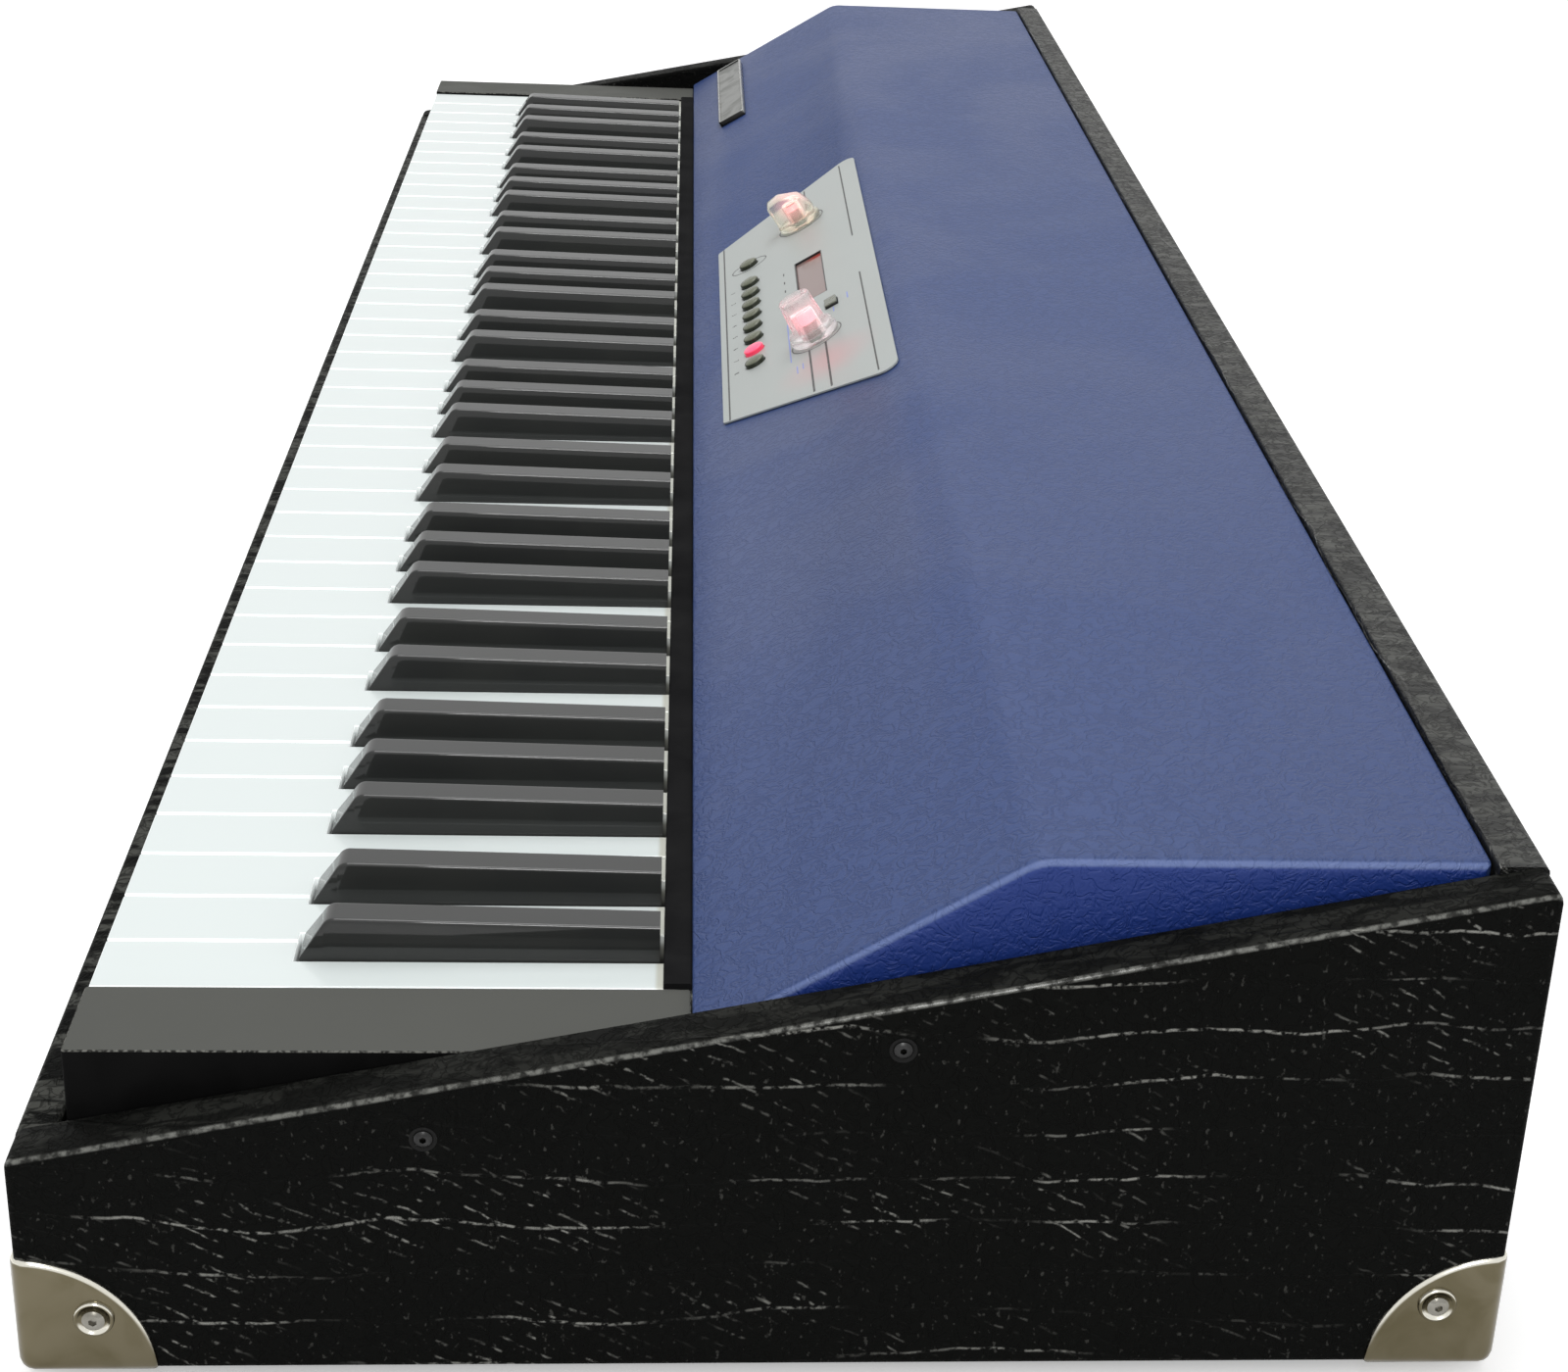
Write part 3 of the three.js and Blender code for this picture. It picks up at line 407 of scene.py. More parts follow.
def new_group(name, inputs, outputs):
    """A shader node group with named inputs (name: kind, value) and value outputs."""
    tree = bpy.data.node_groups.new(name, "ShaderNodeTree")
    for label, (kind, value) in inputs.items():
        socket = tree.interface.new_socket(label, in_out="INPUT", socket_type="NodeSocket" + kind)
        socket.default_value = value
    for label in outputs:
        tree.interface.new_socket(label, in_out="OUTPUT", socket_type="NodeSocketFloat")
    return tree, tree.nodes.new("NodeGroupInput").outputs, tree.nodes.new("NodeGroupOutput").inputs


def use(tree, group, inputs):
    """Places a node group in a tree and returns its outputs."""
    return add(tree, "Group", inputs, node_tree=group).outputs


def maths(tree, operation, first, second=0.5, clamp=False):
    """The result of one sum on two values."""
    return add(tree, "Math", {0: first, 1: second}, operation=operation, use_clamp=clamp).outputs[0]


def times(tree, first, second):
    """The product of two values."""
    return maths(tree, "MULTIPLY", first, second)


def rest_of(tree, mask):
    """One where the mask is zero, and zero where it is one."""
    return maths(tree, "SUBTRACT", 1.0, mask)


def off_middle(tree, value, middle):
    """The distance of a value from a middle value."""
    return maths(tree, "ABSOLUTE", maths(tree, "SUBTRACT", value, middle))


def vector_maths(tree, operation, first, second):
    """The value that one sum on two vectors gives."""
    return add(tree, "VectorMath", {0: first, 1: tuple(second)}, operation=operation).outputs["Value"]


def ramp(tree, value, low, high, to_low=0.0, to_high=1.0):
    """A value that goes smoothly from one number to another while its source goes from low to high."""
    inputs = {"Value": value, "From Min": low, "From Max": high, "To Min": to_low, "To Max": to_high}
    return add(tree, "MapRange", inputs, interpolation_type="SMOOTHSTEP").outputs[0]


MIX_FACTOR, MIX_FIRST, MIX_SECOND, MIX_RESULT = 0, 6, 7, 2


def mixed(tree, mask, first, second):
    """A colour between two colours, by a mask. The Mix node's colour sockets are the ones numbered here."""
    colours = [(*c, 1) if isinstance(c, tuple) else c for c in (first, second)]
    inputs = {MIX_FACTOR: mask, MIX_FIRST: colours[0], MIX_SECOND: colours[1]}
    return add(tree, "Mix", inputs, data_type="RGBA").outputs[MIX_RESULT]


def noise(tree, vector, scale, detail=2.0, distortion=0.0):
    """Soft noise around one half."""
    inputs = {"Vector": vector, "Scale": scale, "Detail": detail, "Distortion": distortion}
    return add(tree, "TexNoise", inputs).outputs[0]


def stretched(tree, vector, scale, turn=(0, 0, 0)):
    """A vector whose pattern is stretched along the axes where the scale is small."""
    return add(tree, "Mapping", {"Vector": vector, "Scale": scale, "Rotation": turn}).outputs[0]


# %% [markdown]
# The Principled BSDF is the one shader that every finish uses. Values that are the same all over the
# surface are set on its sockets, and only what changes over the surface is linked.

# %% A material with its shader
def finish_material(name, colour, roughness, metallic=0.0, **fixed):
    """A new material: its node tree, its shader, and the object coordinates that patterns follow."""
    material = bpy.data.materials.new(name)
    material.use_nodes = True
    tree = material.node_tree
    shader = tree.nodes["Principled BSDF"]
    shader.inputs["Base Color"].default_value = (*colour, 1)
    shader.inputs["Roughness"].default_value = roughness
    shader.inputs["Metallic"].default_value = metallic
    for key, value in fixed.items():
        shader.inputs[key.replace("_", " ")].default_value = value
    material.diffuse_color = (*colour, 1)
    return material, tree, shader, add(tree, "TexCoord").outputs["Object"]


def feed(tree, shader, **sockets):
    """Links values to the shader's sockets. A _ in a name stands for a space."""
    for key, value in sockets.items():
        tree.links.new(value, shader.inputs[key.replace("_", " ")])


def gloss(tree, tone, low, high):
    """A roughness that goes from one number to another while a tone goes from zero to one."""
    return ramp(tree, tone, 0.0, 1.0, low, high)


def relief(tree, shader, height, strength, depth):
    """Bumps the shader's normal by a height field of a given depth in metres."""
    bump = add(tree, "Bump", {"Height": height, "Strength": strength, "Distance": depth})
    tree.links.new(bump.outputs[0], shader.inputs["Normal"])


# %% [markdown]
# ### Shared effects
# Moulded plastic is never quite even: its gloss wanders and it carries a little fine texture. Handled
# parts have duller patches. Both effects appear in many finishes, so both are groups.

# %% The unevenness of moulded plastic
moulded, given, result = new_group(
    "moulded plastic",
    {"Vector": ("Vector", (0, 0, 0)), "Texture Size": ("Float", 1500.0), "Patch Size": ("Float", 30.0)},
    ["Tone", "Height"],
)
patches = noise(moulded, given["Vector"], given["Patch Size"], 4.0, 0.6)
specks = noise(moulded, given["Vector"], given["Texture Size"])
moulded.links.new(ramp(moulded, patches, 0.3, 0.7), result["Tone"])
moulded.links.new(specks, result["Height"])
print("effect:", moulded.name)

# %% [markdown]
# The case is covered with thick embossed vinyl cloth that imitates a wrinkled hide. Long creases run along
# a board and short slanted ones gather in patches. One function draws both. It measures a distance across
# the lines, bends it with slow noise, and folds it back and forth like a zigzag rule, so that what is left
# is the distance to the nearest line. A painted glint stands for the light that the creases catch here and
# there: fine noise cuts them into beads and slow noise hides whole stretches. Between them lie single
# painted glints, and folds that wind in all directions, which get painted shade. The pattern's first axis
# runs along the board.

# %% The relief of hide-grained cloth
def wavy_lines(tree, vector, across, spacing, width, bend, bend_size, detail=2.0):
    """Thin lines at about equal distances, at right angles to a direction, bent by noise."""
    place = vector_maths(tree, "DOT_PRODUCT", vector, across)
    bending = times(tree, noise(tree, vector, bend_size, detail), bend)
    away = maths(tree, "PINGPONG", maths(tree, "ADD", place, bending), spacing / 2)
    return ramp(tree, away, 0.2 * width, width, 1.0, 0.0)


def valleys(tree, vector, size, width):
    """Thin winding lines, which lie where a noise is close to its middle value."""
    return ramp(tree, off_middle(tree, noise(tree, vector, size, 3.0, 0.9), 0.5), 0.0, width, 1.0, 0.0)


ALONG_SPACING, ALONG_WIDTH, ALONG_BEND = 14 * mm, 0.6 * mm, 27 * mm
SLANTED_SPACING, SLANTED_WIDTH, SLANTED_BEND = 4 * mm, 0.5 * mm, 7 * mm
hide, given, result = new_group(
    "wrinkled hide",
    {
        "Vector": ("Vector", (0, 0, 0)),
        "Ridge Size": ("Float", 420.0),
        "Bead Size": ("Float", 520.0),
        "Patch Size": ("Float", 42.0),
    },
    ["Height", "Fold", "Glint"],
)
place = given["Vector"]
ridges = noise(hide, stretched(hide, place, (1.0, 0.3, 0.22)), given["Ridge Size"], 3.0, 0.5)
creases = wavy_lines(hide, place, (0.0, 0.8, 1.0), ALONG_SPACING, ALONG_WIDTH, ALONG_BEND, 9.0, 5.0)
slanted = wavy_lines(hide, place, (0.45, 0.6, 0.89), SLANTED_SPACING, SLANTED_WIDTH, SLANTED_BEND, 44.0, 5.0)
gathered = ramp(hide, noise(hide, place, 24.0), 0.40, 0.58)
short = ramp(hide, noise(hide, place, 210.0), 0.48, 0.60)
creases = maths(hide, "MAXIMUM", creases, times(hide, times(hide, slanted, gathered), short))
beads = ramp(hide, noise(hide, place, given["Bead Size"]), 0.40, 0.60)
patches = noise(hide, stretched(hide, place, (0.45, 1.0, 1.0)), given["Patch Size"], 3.0)
stretches = ramp(hide, patches, 0.44, 0.64)
# Single flecks and beaded creases mark where the finishes paint a glint.
glint_flecks = ramp(hide, noise(hide, stretched(hide, place, (1.0, 0.8, 0.7)), 700.0), 0.65, 0.75, 0.0, 0.14)
# The folds are where the finishes paint shade.
folds = valleys(hide, place, 230.0, 0.06)
raised = maths(hide, "ADD", times(hide, ridges, 0.7), times(hide, creases, 0.6))
hide.links.new(folds, result["Fold"])
# Painted glint: the creases, cut into beads and hidden in stretches.
painted_highlight = times(hide, times(hide, creases, beads), stretches)
hide.links.new(maths(hide, "MAXIMUM", glint_flecks, painted_highlight), result["Glint"])
hide.links.new(maths(hide, "SUBTRACT", raised, times(hide, folds, 0.6)), result["Height"])
print("effect:", hide.name)

# %% [markdown]
# The cover wears a much finer vinyl, with the shallow, wavy wrinkles of soft leather: the same winding
# valleys, wide and shallow, with a little pebbling on top.

# %% The relief of fine leather
leather, given, result = new_group(
    "fine leather",
    {"Vector": ("Vector", (0, 0, 0)), "Wrinkle Size": ("Float", 230.0), "Pebble Size": ("Float", 1100.0)},
    ["Height", "Valley"],
)
valley = valleys(leather, given["Vector"], given["Wrinkle Size"], 0.09)
grains = {"Vector": given["Vector"], "Scale": given["Pebble Size"], "Smoothness": 0.4}
pebbles = add(leather, "TexVoronoi", grains, feature="SMOOTH_F1").outputs["Distance"]
body = times(leather, rest_of(leather, pebbles), 0.35)
leather.links.new(valley, result["Valley"])
leather.links.new(maths(leather, "SUBTRACT", body, times(leather, valley, 0.6)), result["Height"])
print("effect:", leather.name)

# %% [markdown]
# Metal that was brushed or rolled has fine parallel lines, and metal that was handled has faint smears.
# The lines are noise that is stretched a hundred times along one axis.

# %% The marks on worked metal
worked, given, result = new_group(
    "worked metal",
    {"Vector": ("Vector", (0, 0, 0)), "Line Size": ("Float", 2500.0), "Smear Size": ("Float", 60.0)},
    ["Lines", "Smears"],
)
drawn = stretched(worked, given["Vector"], (0.01, 1.0, 1.0))
worked.links.new(noise(worked, drawn, given["Line Size"]), result["Lines"])
smears = noise(worked, given["Vector"], given["Smear Size"], 5.0, 1.0)
worked.links.new(ramp(worked, smears, 0.35, 0.7), result["Smears"])
print("effect:", worked.name)

# %% [markdown]
# ## The finishes
# Three masks serve many finishes. They tell where a face looks up, where it looks out to an end of the
# case, and where a surface turns from its top into its side. How far a face looks up is the z of the
# object's own normal.

# %% Which way a face looks
def looks_up(tree, low, high):
    """One where the surface looks up, zero where it stands or looks down."""
    normal = add(tree, "TexCoord").outputs["Normal"]
    return ramp(tree, add(tree, "SeparateXYZ", {"Vector": normal}).outputs["Z"], low, high)


def looks_out(tree, place, low, high):
    """One where the surface looks away from the middle of the case along x, zero where it looks inward."""
    normal = add(tree, "SeparateXYZ", {"Vector": add(tree, "TexCoord").outputs["Normal"]}).outputs["X"]
    side = maths(tree, "SIGN", add(tree, "SeparateXYZ", {"Vector": place}).outputs["X"])
    return ramp(tree, times(tree, normal, side), low, high)


def top_edge_of(tree, top, low, high):
    """One on the rounded edge beside a top, zero on the top itself and on the sides."""
    return times(tree, looks_up(tree, low, high), rest_of(tree, top))


# %% [markdown]
# ### Cloth of the case
# The ridges of the cloth run up the boards and straight across their narrow tops, and the long creases run
# along the boards. So the pattern is turned with the board: the two cheeks run along y and the other boards
# along x. The tops look up, and their colour is a painted sheen, crossed by painted shade of wrinkles that
# run across the board. The rounded edges beside them carry a painted, beaded highlight, the sides a painted
# glint on their creases, and the folds painted shade. Cheeks, boards and front rail are three materials from
# one function, because their tops get painted sheens of different strength.

# %% Case cloth
CLOTH_DARK = (0.0050, 0.0052, 0.0048)
# Painted highlight of the rounded edges beside the tops, and painted glint of the creases.
CLOTH_EDGE_HIGHLIGHT = (0.150, 0.152, 0.138)
CLOTH_GLINT = (0.21, 0.21, 0.19)
# Size of the painted shade of wrinkles across the tops, and how strongly the folds get painted shade.
WRINKLE_SHADE_SIZE = 190.0
FOLD_SHADE, CLOTH_SHINE = 0.65, 0.6
CLOTH_RELIEF = 0.7 * mm


def case_cloth(name, turn, top_sheen, specular, gathered):
    """Black hide-grained vinyl. Turn brings the length of its board to x, the colour after it is the painted
    sheen of its tops, and gathered says how strongly painted shade of wrinkles crosses those tops."""
    material, tree, shader, place = finish_material(
        name, CLOTH_DARK, 0.45, Specular_IOR_Level=specular, Coat_Roughness=0.2)
    grain = use(tree, hide, {"Vector": stretched(tree, place, (1, 1, 1), (0, 0, turn))})
    across = stretched(tree, place, (1.0, 0.3, 0.3), (0, 0, turn))
    # Painted shade of wrinkles that run across the tops.
    wrinkle_shade = ramp(tree, noise(tree, across, WRINKLE_SHADE_SIZE, 4.0, 0.8), 0.44, 0.58, 1.0, 0.0)
    top = looks_up(tree, 0.75, 0.95)
    edge = times(tree, top_edge_of(tree, top, 0.2, 0.5), looks_out(tree, place, 0.1, 0.2))
    # A painted, beaded highlight along the rounded edges beside the tops.
    beaded_highlight = times(tree, edge, ramp(tree, noise(tree, place, 420.0, 3.0), 0.35, 0.62, 0.15, 1.0))
    # Painted glint on the creases of the sides.
    shine = times(tree, grain["Glint"], rest_of(tree, top))
    # The tops' colour is a painted sheen, crossed by the painted shade of the wrinkles.
    sheen_and_wrinkle_shade = mixed(tree, times(tree, wrinkle_shade, gathered), top_sheen, CLOTH_DARK)
    sheened_top = mixed(tree, top, CLOTH_DARK, sheen_and_wrinkle_shade)
    # Painted shade in the folds.
    fold_shaded = mixed(tree, times(tree, grain["Fold"], FOLD_SHADE), sheened_top, CLOTH_DARK)
    # The painted highlight along the rounded edges.
    painted_highlight = mixed(tree, beaded_highlight, fold_shaded, CLOTH_EDGE_HIGHLIGHT)
    feed(tree, shader,
         Base_Color=mixed(tree, shine, painted_highlight, CLOTH_GLINT),
         Coat_Weight=times(tree, maths(tree, "MAXIMUM", shine, beaded_highlight), CLOTH_SHINE),
         Roughness=ramp(tree, grain["Height"], 0.0, 0.6, 0.55, 0.38))
    relief(tree, shader, grain["Height"], 0.7, CLOTH_RELIEF)
    return material


# Each kind of board gets its own colour for the painted sheen of its tops.
CLOTH_OF_CHEEKS = case_cloth("case_cloth_cheeks", -math.pi / 2, (0.019, 0.0195, 0.0175), 0.015, 0.85)
CLOTH_OF_BOARDS = case_cloth("case_cloth_boards", 0, (0.050, 0.051, 0.046), 0.2, 0.8)
CLOTH_OF_RAIL = case_cloth("case_cloth_rail", 0, (0.060, 0.061, 0.055), 0.02, 1.0)
print("finish:", CLOTH_OF_CHEEKS.name, CLOTH_OF_BOARDS.name, CLOTH_OF_RAIL.name)

# %% [markdown]
# ### Vinyl of the cover
# A deep blue with a low, even grain. The valleys of the grain get only a little painted shade, because most
# of what is seen of it is the way it breaks up the light. Where the vinyl is folded over the ends, its
# rounded edge carries a pale painted highlight. The end walls get a purer blue, which is painted light for
# the way the light falls on them.

# %% Cover vinyl
COVER_BLUE = (0.026, 0.052, 0.162)
# Painted shade in the valleys of the grain.
COVER_VALLEY_SHADE = (0.022, 0.045, 0.145)
COVER_LIGHT = (0.030, 0.058, 0.174)
# A painted highlight on the rounded edges where the vinyl folds over the ends.
COVER_EDGE_HIGHLIGHT = (0.105, 0.150, 0.330)
# The end walls' purer blue is painted light.
COVER_END_LIT = (0.008, 0.030, 0.180)
COVER_RELIEF = 0.3 * mm

COVER_VINYL, tree, shader, place = finish_material("cover_vinyl", COVER_BLUE, 0.5, Specular_IOR_Level=0.38)
grain = use(tree, leather, {"Vector": place})
even = use(tree, moulded, {"Vector": place, "Patch Size": 9.0})
field = mixed(tree, even["Tone"], COVER_BLUE, COVER_LIGHT)
grained = mixed(tree, grain["Valley"], field, COVER_VALLEY_SHADE)
# Painted light on the end walls, then a painted highlight on their rounded edges.
end_lit = mixed(tree, looks_out(tree, place, 0.8, 0.95), grained, COVER_END_LIT)
fold = times(tree, looks_up(tree, 0.3, 0.6), looks_out(tree, place, 0.35, 0.65))
feed(tree, shader, Base_Color=mixed(tree, fold, end_lit, COVER_EDGE_HIGHLIGHT),
     Roughness=gloss(tree, even["Tone"], 0.46, 0.54))
relief(tree, shader, grain["Height"], 0.9, COVER_RELIEF)
print("finish:", COVER_VINYL.name)

# %% [markdown]
# ### Keys
# White keys are bright, cool and glossy. Their last few millimetres are darker and slightly yellow. White
# plastic lets light through: what falls on a key's top comes out again at its sides, so a joint shows as a
# bright line. To stand for that, the sides are painted lighter than the tops and have a painted glow of their
# own. It reaches down a few millimetres and fades behind the noses of the black keys, where hardly any light
# gets in and the lower sides get painted shade. Black keys turn grey where they mirror the room.

# %% Key plastics
KEY_WHITE = (0.715, 0.775, 0.765)
# Painted light: the lighter colour of the sides and the colour of their painted glow.
KEY_SIDE_LIGHT = (0.95, 1.0, 0.99)
# The last few millimetres are darker and slightly yellow.
KEY_TAIL_TONE = (0.55, 0.56, 0.49)
# Painted shade low on the sides behind the noses of the black keys.
KEY_SHADED = (0.03, 0.03, 0.03)
KEY_BLACK, KEY_BLACK_LIGHT = (0.015, 0.016, 0.0155), (0.018, 0.019, 0.0175)
NO_LIGHT = (0.0, 0.0, 0.0)
TAIL_TONE_FROM, TAIL_TONE_RUN = key_front + 141.2 * mm, 1.5 * mm
SHADED_FROM, SHADED_RUN = key_front + 46 * mm, 6 * mm

WHITE_KEY, tree, shader, place = finish_material(
    "white_key", KEY_WHITE, 0.2, Coat_Weight=0.3, Emission_Strength=0.55)
even = use(tree, moulded, {"Vector": place, "Texture Size": 900.0, "Patch Size": 18.0})
axes = add(tree, "SeparateXYZ", {"Vector": place}).outputs
top = looks_up(tree, 0.6, 0.98)
tail = ramp(tree, axes["Y"], TAIL_TONE_FROM, TAIL_TONE_FROM + TAIL_TONE_RUN)
behind = ramp(tree, axes["Y"], SHADED_FROM, SHADED_FROM + SHADED_RUN)
open_part = ramp(tree, axes["Y"], SHADED_FROM, SHADED_FROM + SHADED_RUN, 1.0, 0.35)
let_through = ramp(tree, axes["Z"], key_top - 4 * mm, key_top - 1 * mm)
deep = ramp(tree, axes["Z"], key_top - 9 * mm, key_top - 3 * mm, 1.0, 0.0)
# Sides painted lighter than the tops; the last few millimetres darker and yellower.
lit_sides_and_tail = mixed(tree, tail, mixed(tree, top, KEY_SIDE_LIGHT, KEY_WHITE), KEY_TAIL_TONE)
# A painted glow on the sides, a few millimetres below the top.
glow = mixed(tree, times(tree, open_part, let_through), NO_LIGHT, KEY_SIDE_LIGHT)
feed(tree, shader,
     # Painted shade deep on the sides behind the noses.
     Base_Color=mixed(tree, times(tree, deep, behind), lit_sides_and_tail, KEY_SHADED),
     Emission_Color=mixed(tree, top, glow, NO_LIGHT),
     Roughness=gloss(tree, even["Tone"], 0.24, 0.27))
relief(tree, shader, even["Height"], 0.02, 0.02 * mm)

BLACK_KEY, tree, shader, place = finish_material(
    "black_key", KEY_BLACK, 0.45, Specular_IOR_Level=0.15, Coat_Weight=0.66, Coat_Roughness=0.05)
even = use(tree, moulded, {"Vector": place, "Texture Size": 2200.0, "Patch Size": 26.0})
feed(tree, shader, Base_Color=mixed(tree, even["Tone"], KEY_BLACK, KEY_BLACK_LIGHT),
     Roughness=gloss(tree, even["Tone"], 0.42, 0.48))
relief(tree, shader, even["Height"], 0.03, 0.03 * mm)
print("finish:", WHITE_KEY.name, BLACK_KEY.name)

# %% [markdown]
# ### Dull black parts
# End blocks, feet, the connector plate and the felt differ only in how coarse and how dull they are, so
# one function makes them all.

# %% Dull black parts
def dull(name, colour, light_colour, roughness, texture, strength, sheen_colour=None, **fixed):
    """A dull part with a fine moulded texture, slow patches of a lighter tone and, where a sheen colour is
    given, a painted sheen where it looks up and a speckled painted highlight along the edges of its top."""
    material, tree, shader, place = finish_material(name, colour, roughness, **fixed)
    even = use(tree, moulded, {"Vector": place, "Texture Size": texture, "Patch Size": 40.0})
    shade = mixed(tree, even["Tone"], colour, light_colour)
    if sheen_colour:
        # A painted sheen where the part looks up, and a speckled painted highlight along the edges of its
        # top.
        top = looks_up(tree, 0.8, 0.95)
        specks = ramp(tree, noise(tree, place, 900.0), 0.4, 0.6, 0.1, 0.8)
        edge_highlight = times(tree, top_edge_of(tree, top, 0.2, 0.4), specks)
        shade = mixed(tree, edge_highlight, mixed(tree, top, shade, sheen_colour), CLOTH_GLINT)
    feed(tree, shader, Base_Color=shade,
         Roughness=gloss(tree, even["Tone"], roughness - 0.05, roughness + 0.06))
    relief(tree, shader, even["Height"], strength, 0.1 * mm)
    return material


# The end blocks get a painted sheen on their tops.
END_BLOCK = dull("end_block", (0.004, 0.004, 0.004), (0.006, 0.006, 0.006), 0.5, 1800.0, 0.3,
                 sheen_colour=(0.100, 0.102, 0.094), Specular_IOR_Level=0.02)
RUBBER = dull("foot_rubber", (0.008, 0.008, 0.008), (0.013, 0.013, 0.012), 0.85, 700.0, 0.3,
              Specular_IOR_Level=0.15)
PLATE_BLACK = dull("plate_black", (0.018, 0.018, 0.019), (0.024, 0.024, 0.025), 0.45, 1500.0, 0.2)
ROCKER_BLACK = dull("rocker_black", (0.012, 0.012, 0.012), (0.018, 0.018, 0.018), 0.3, 1200.0, 0.1)
SOCKET_BLACK = dull("socket_black", (0.009, 0.009, 0.009), (0.014, 0.014, 0.014), 0.4, 900.0, 0.1)
FELT = dull("felt", (0.006, 0.006, 0.0065), (0.014, 0.014, 0.0145), 0.95, 520.0, 1.0,
            Specular_IOR_Level=0.05)
BOARD_GREEN = dull("circuit_board", (0.012, 0.070, 0.030), (0.020, 0.100, 0.045), 0.4, 320.0, 0.15)
print("finish:", END_BLOCK.name, RUBBER.name, PLATE_BLACK.name, SOCKET_BLACK.name, FELT.name)

# %% [markdown]
# ### Metals and paint
# The corners are pressed steel with worn nickel. Its dark, warm colour is a painted reflection of dim, warm
# surroundings, and what looks up on it has a painted reflection of the ceiling. Screws are bright steel and
# the key frame is zinc plated. All carry the marks of worked metal. What looks up can differ from the sides:
# it is painted bright on the corners, and on the frame of the name plate it is the sides that are dark.

# %% Metals
def metal(name, colour, worn_colour, roughness, lines, spread=(0.05, 0.08), smears=60.0, upward=None):
    """Metal with fine lines in its relief and smears in its gloss. Upward says how a face that looks up
    differs: the mask's limits, then the colours of the sides and of the top, or None for the metal's own."""
    material, tree, shader, place = finish_material(name, colour, roughness, 1.0)
    marks = use(tree, worked, {"Vector": place, "Smear Size": smears})
    shade = mixed(tree, marks["Smears"], colour, worn_colour)
    if upward:
        low, high, sides, top = upward
        shade = mixed(tree, looks_up(tree, low, high), sides or shade, top or shade)
    feed(tree, shader, Base_Color=shade,
         Roughness=gloss(tree, marks["Smears"], roughness - spread[0], roughness + spread[1]))
    relief(tree, shader, marks["Lines"], lines, 0.03 * mm)
    return material


# A painted reflection of the ceiling for the corners, and the dark sides of the name plate's frame.
NICKEL_CEILING_REFLECTION, SIDES_DARK = (0.72, 0.70, 0.62), (0.02, 0.02, 0.02)
# The nickel's dark, warm colours are a painted reflection of dim, warm surroundings.
NICKEL = metal("corner_nickel", (0.150, 0.131, 0.086), (0.112, 0.096, 0.056), 0.2, 0.1, (0.04, 0.07), 45.0,
               upward=(0.08, 0.4, None, NICKEL_CEILING_REFLECTION))
STEEL = metal("bright_steel", (0.29, 0.28, 0.25), (0.22, 0.21, 0.18), 0.24, 0.1)
ZINC = metal("zinc_plate", (0.52, 0.54, 0.55), (0.42, 0.44, 0.45), 0.42, 0.3)
BLACK_STEEL = metal("black_steel", (0.07, 0.07, 0.07), (0.03, 0.03, 0.03), 0.3, 0.1)
BADGE_METAL = metal("badge_metal", (0.36, 0.36, 0.35), (0.29, 0.30, 0.28), 0.3, 0.3,
                    upward=(0.3, 0.75, SIDES_DARK, None))
BADGE_DARK = metal("badge_field", (0.20, 0.205, 0.195), (0.16, 0.165, 0.155), 0.4, 0.3)
print("finish:", NICKEL.name, STEEL.name, ZINC.name, BADGE_METAL.name)

# %% [markdown]
# The panel has a satin silver-grey paint, even and fine. The red lamp in the value knob throws a pale pink
# patch of light on it, beside the knob, which is painted into the colour. The patch is a mask on the distance
# from its middle.

# %% Panel paint
PANEL_GREY, PANEL_LAMP_LIGHT = (0.405, 0.432, 0.420), (0.60, 0.33, 0.34)
PATCH_X, PATCH_ALONG = 98 * mm, 61 * mm
PATCH_NEAR, PATCH_FAR = 2 * mm, 26 * mm

PANEL_PAINT, tree, shader, place = finish_material(
    "panel_paint", PANEL_GREY, 0.42, 0.1, Specular_IOR_Level=0.4)
even = use(tree, moulded, {"Vector": place, "Texture Size": 2600.0, "Patch Size": 12.0})
patch_middle = slope_origin + (PATCH_X, 0, 0) + PATCH_ALONG * slope_up
# The lamp's light on the panel, painted as a pink patch.
patch = ramp(tree, vector_maths(tree, "DISTANCE", place, patch_middle), PATCH_NEAR, PATCH_FAR, 0.5, 0.0)
field = mixed(tree, even["Tone"], PANEL_GREY, tuple(0.97 * part for part in PANEL_GREY))
feed(tree, shader, Base_Color=mixed(tree, patch, field, PANEL_LAMP_LIGHT),
     Roughness=ramp(tree, even["Height"], 0.3, 0.7, 0.40, 0.45))
relief(tree, shader, even["Height"], 0.08, 0.02 * mm)
print("finish:", PANEL_PAINT.name)

# %% [markdown]
# ### Clear and glowing plastic
# The two knobs are clear mouldings over a small red lamp. The clear plastic bends light, so it is left to
# transmission, with a faint painted glow that stands for the lamp's light inside it and is strongest near the
# lamp. The round buttons are smoked and shiny, and one is lit from below.

# %% Clear, smoked and lit plastics
def clear_plastic(name, colour, roughness, lamp, glow):
    """Clear plastic with a painted glow of the lamp's light, which falls off with the distance from the lamp
    inside it.
    """
    material, tree, shader, place = finish_material(
        name, colour, roughness, IOR=1.22, Transmission_Weight=0.82, Emission_Strength=0.3)
    # A painted glow of the lamp's light, strongest near the lamp.
    near_lamp = ramp(tree, vector_maths(tree, "DISTANCE", place, lamp), 3 * mm, 11 * mm, 1.0, 0.0)
    even = use(tree, moulded, {"Vector": place, "Texture Size": 500.0, "Patch Size": 140.0})
    feed(tree, shader, Emission_Color=mixed(tree, near_lamp, NO_LIGHT, glow),
         Roughness=gloss(tree, even["Tone"], roughness - 0.03, roughness + 0.05))
    return material


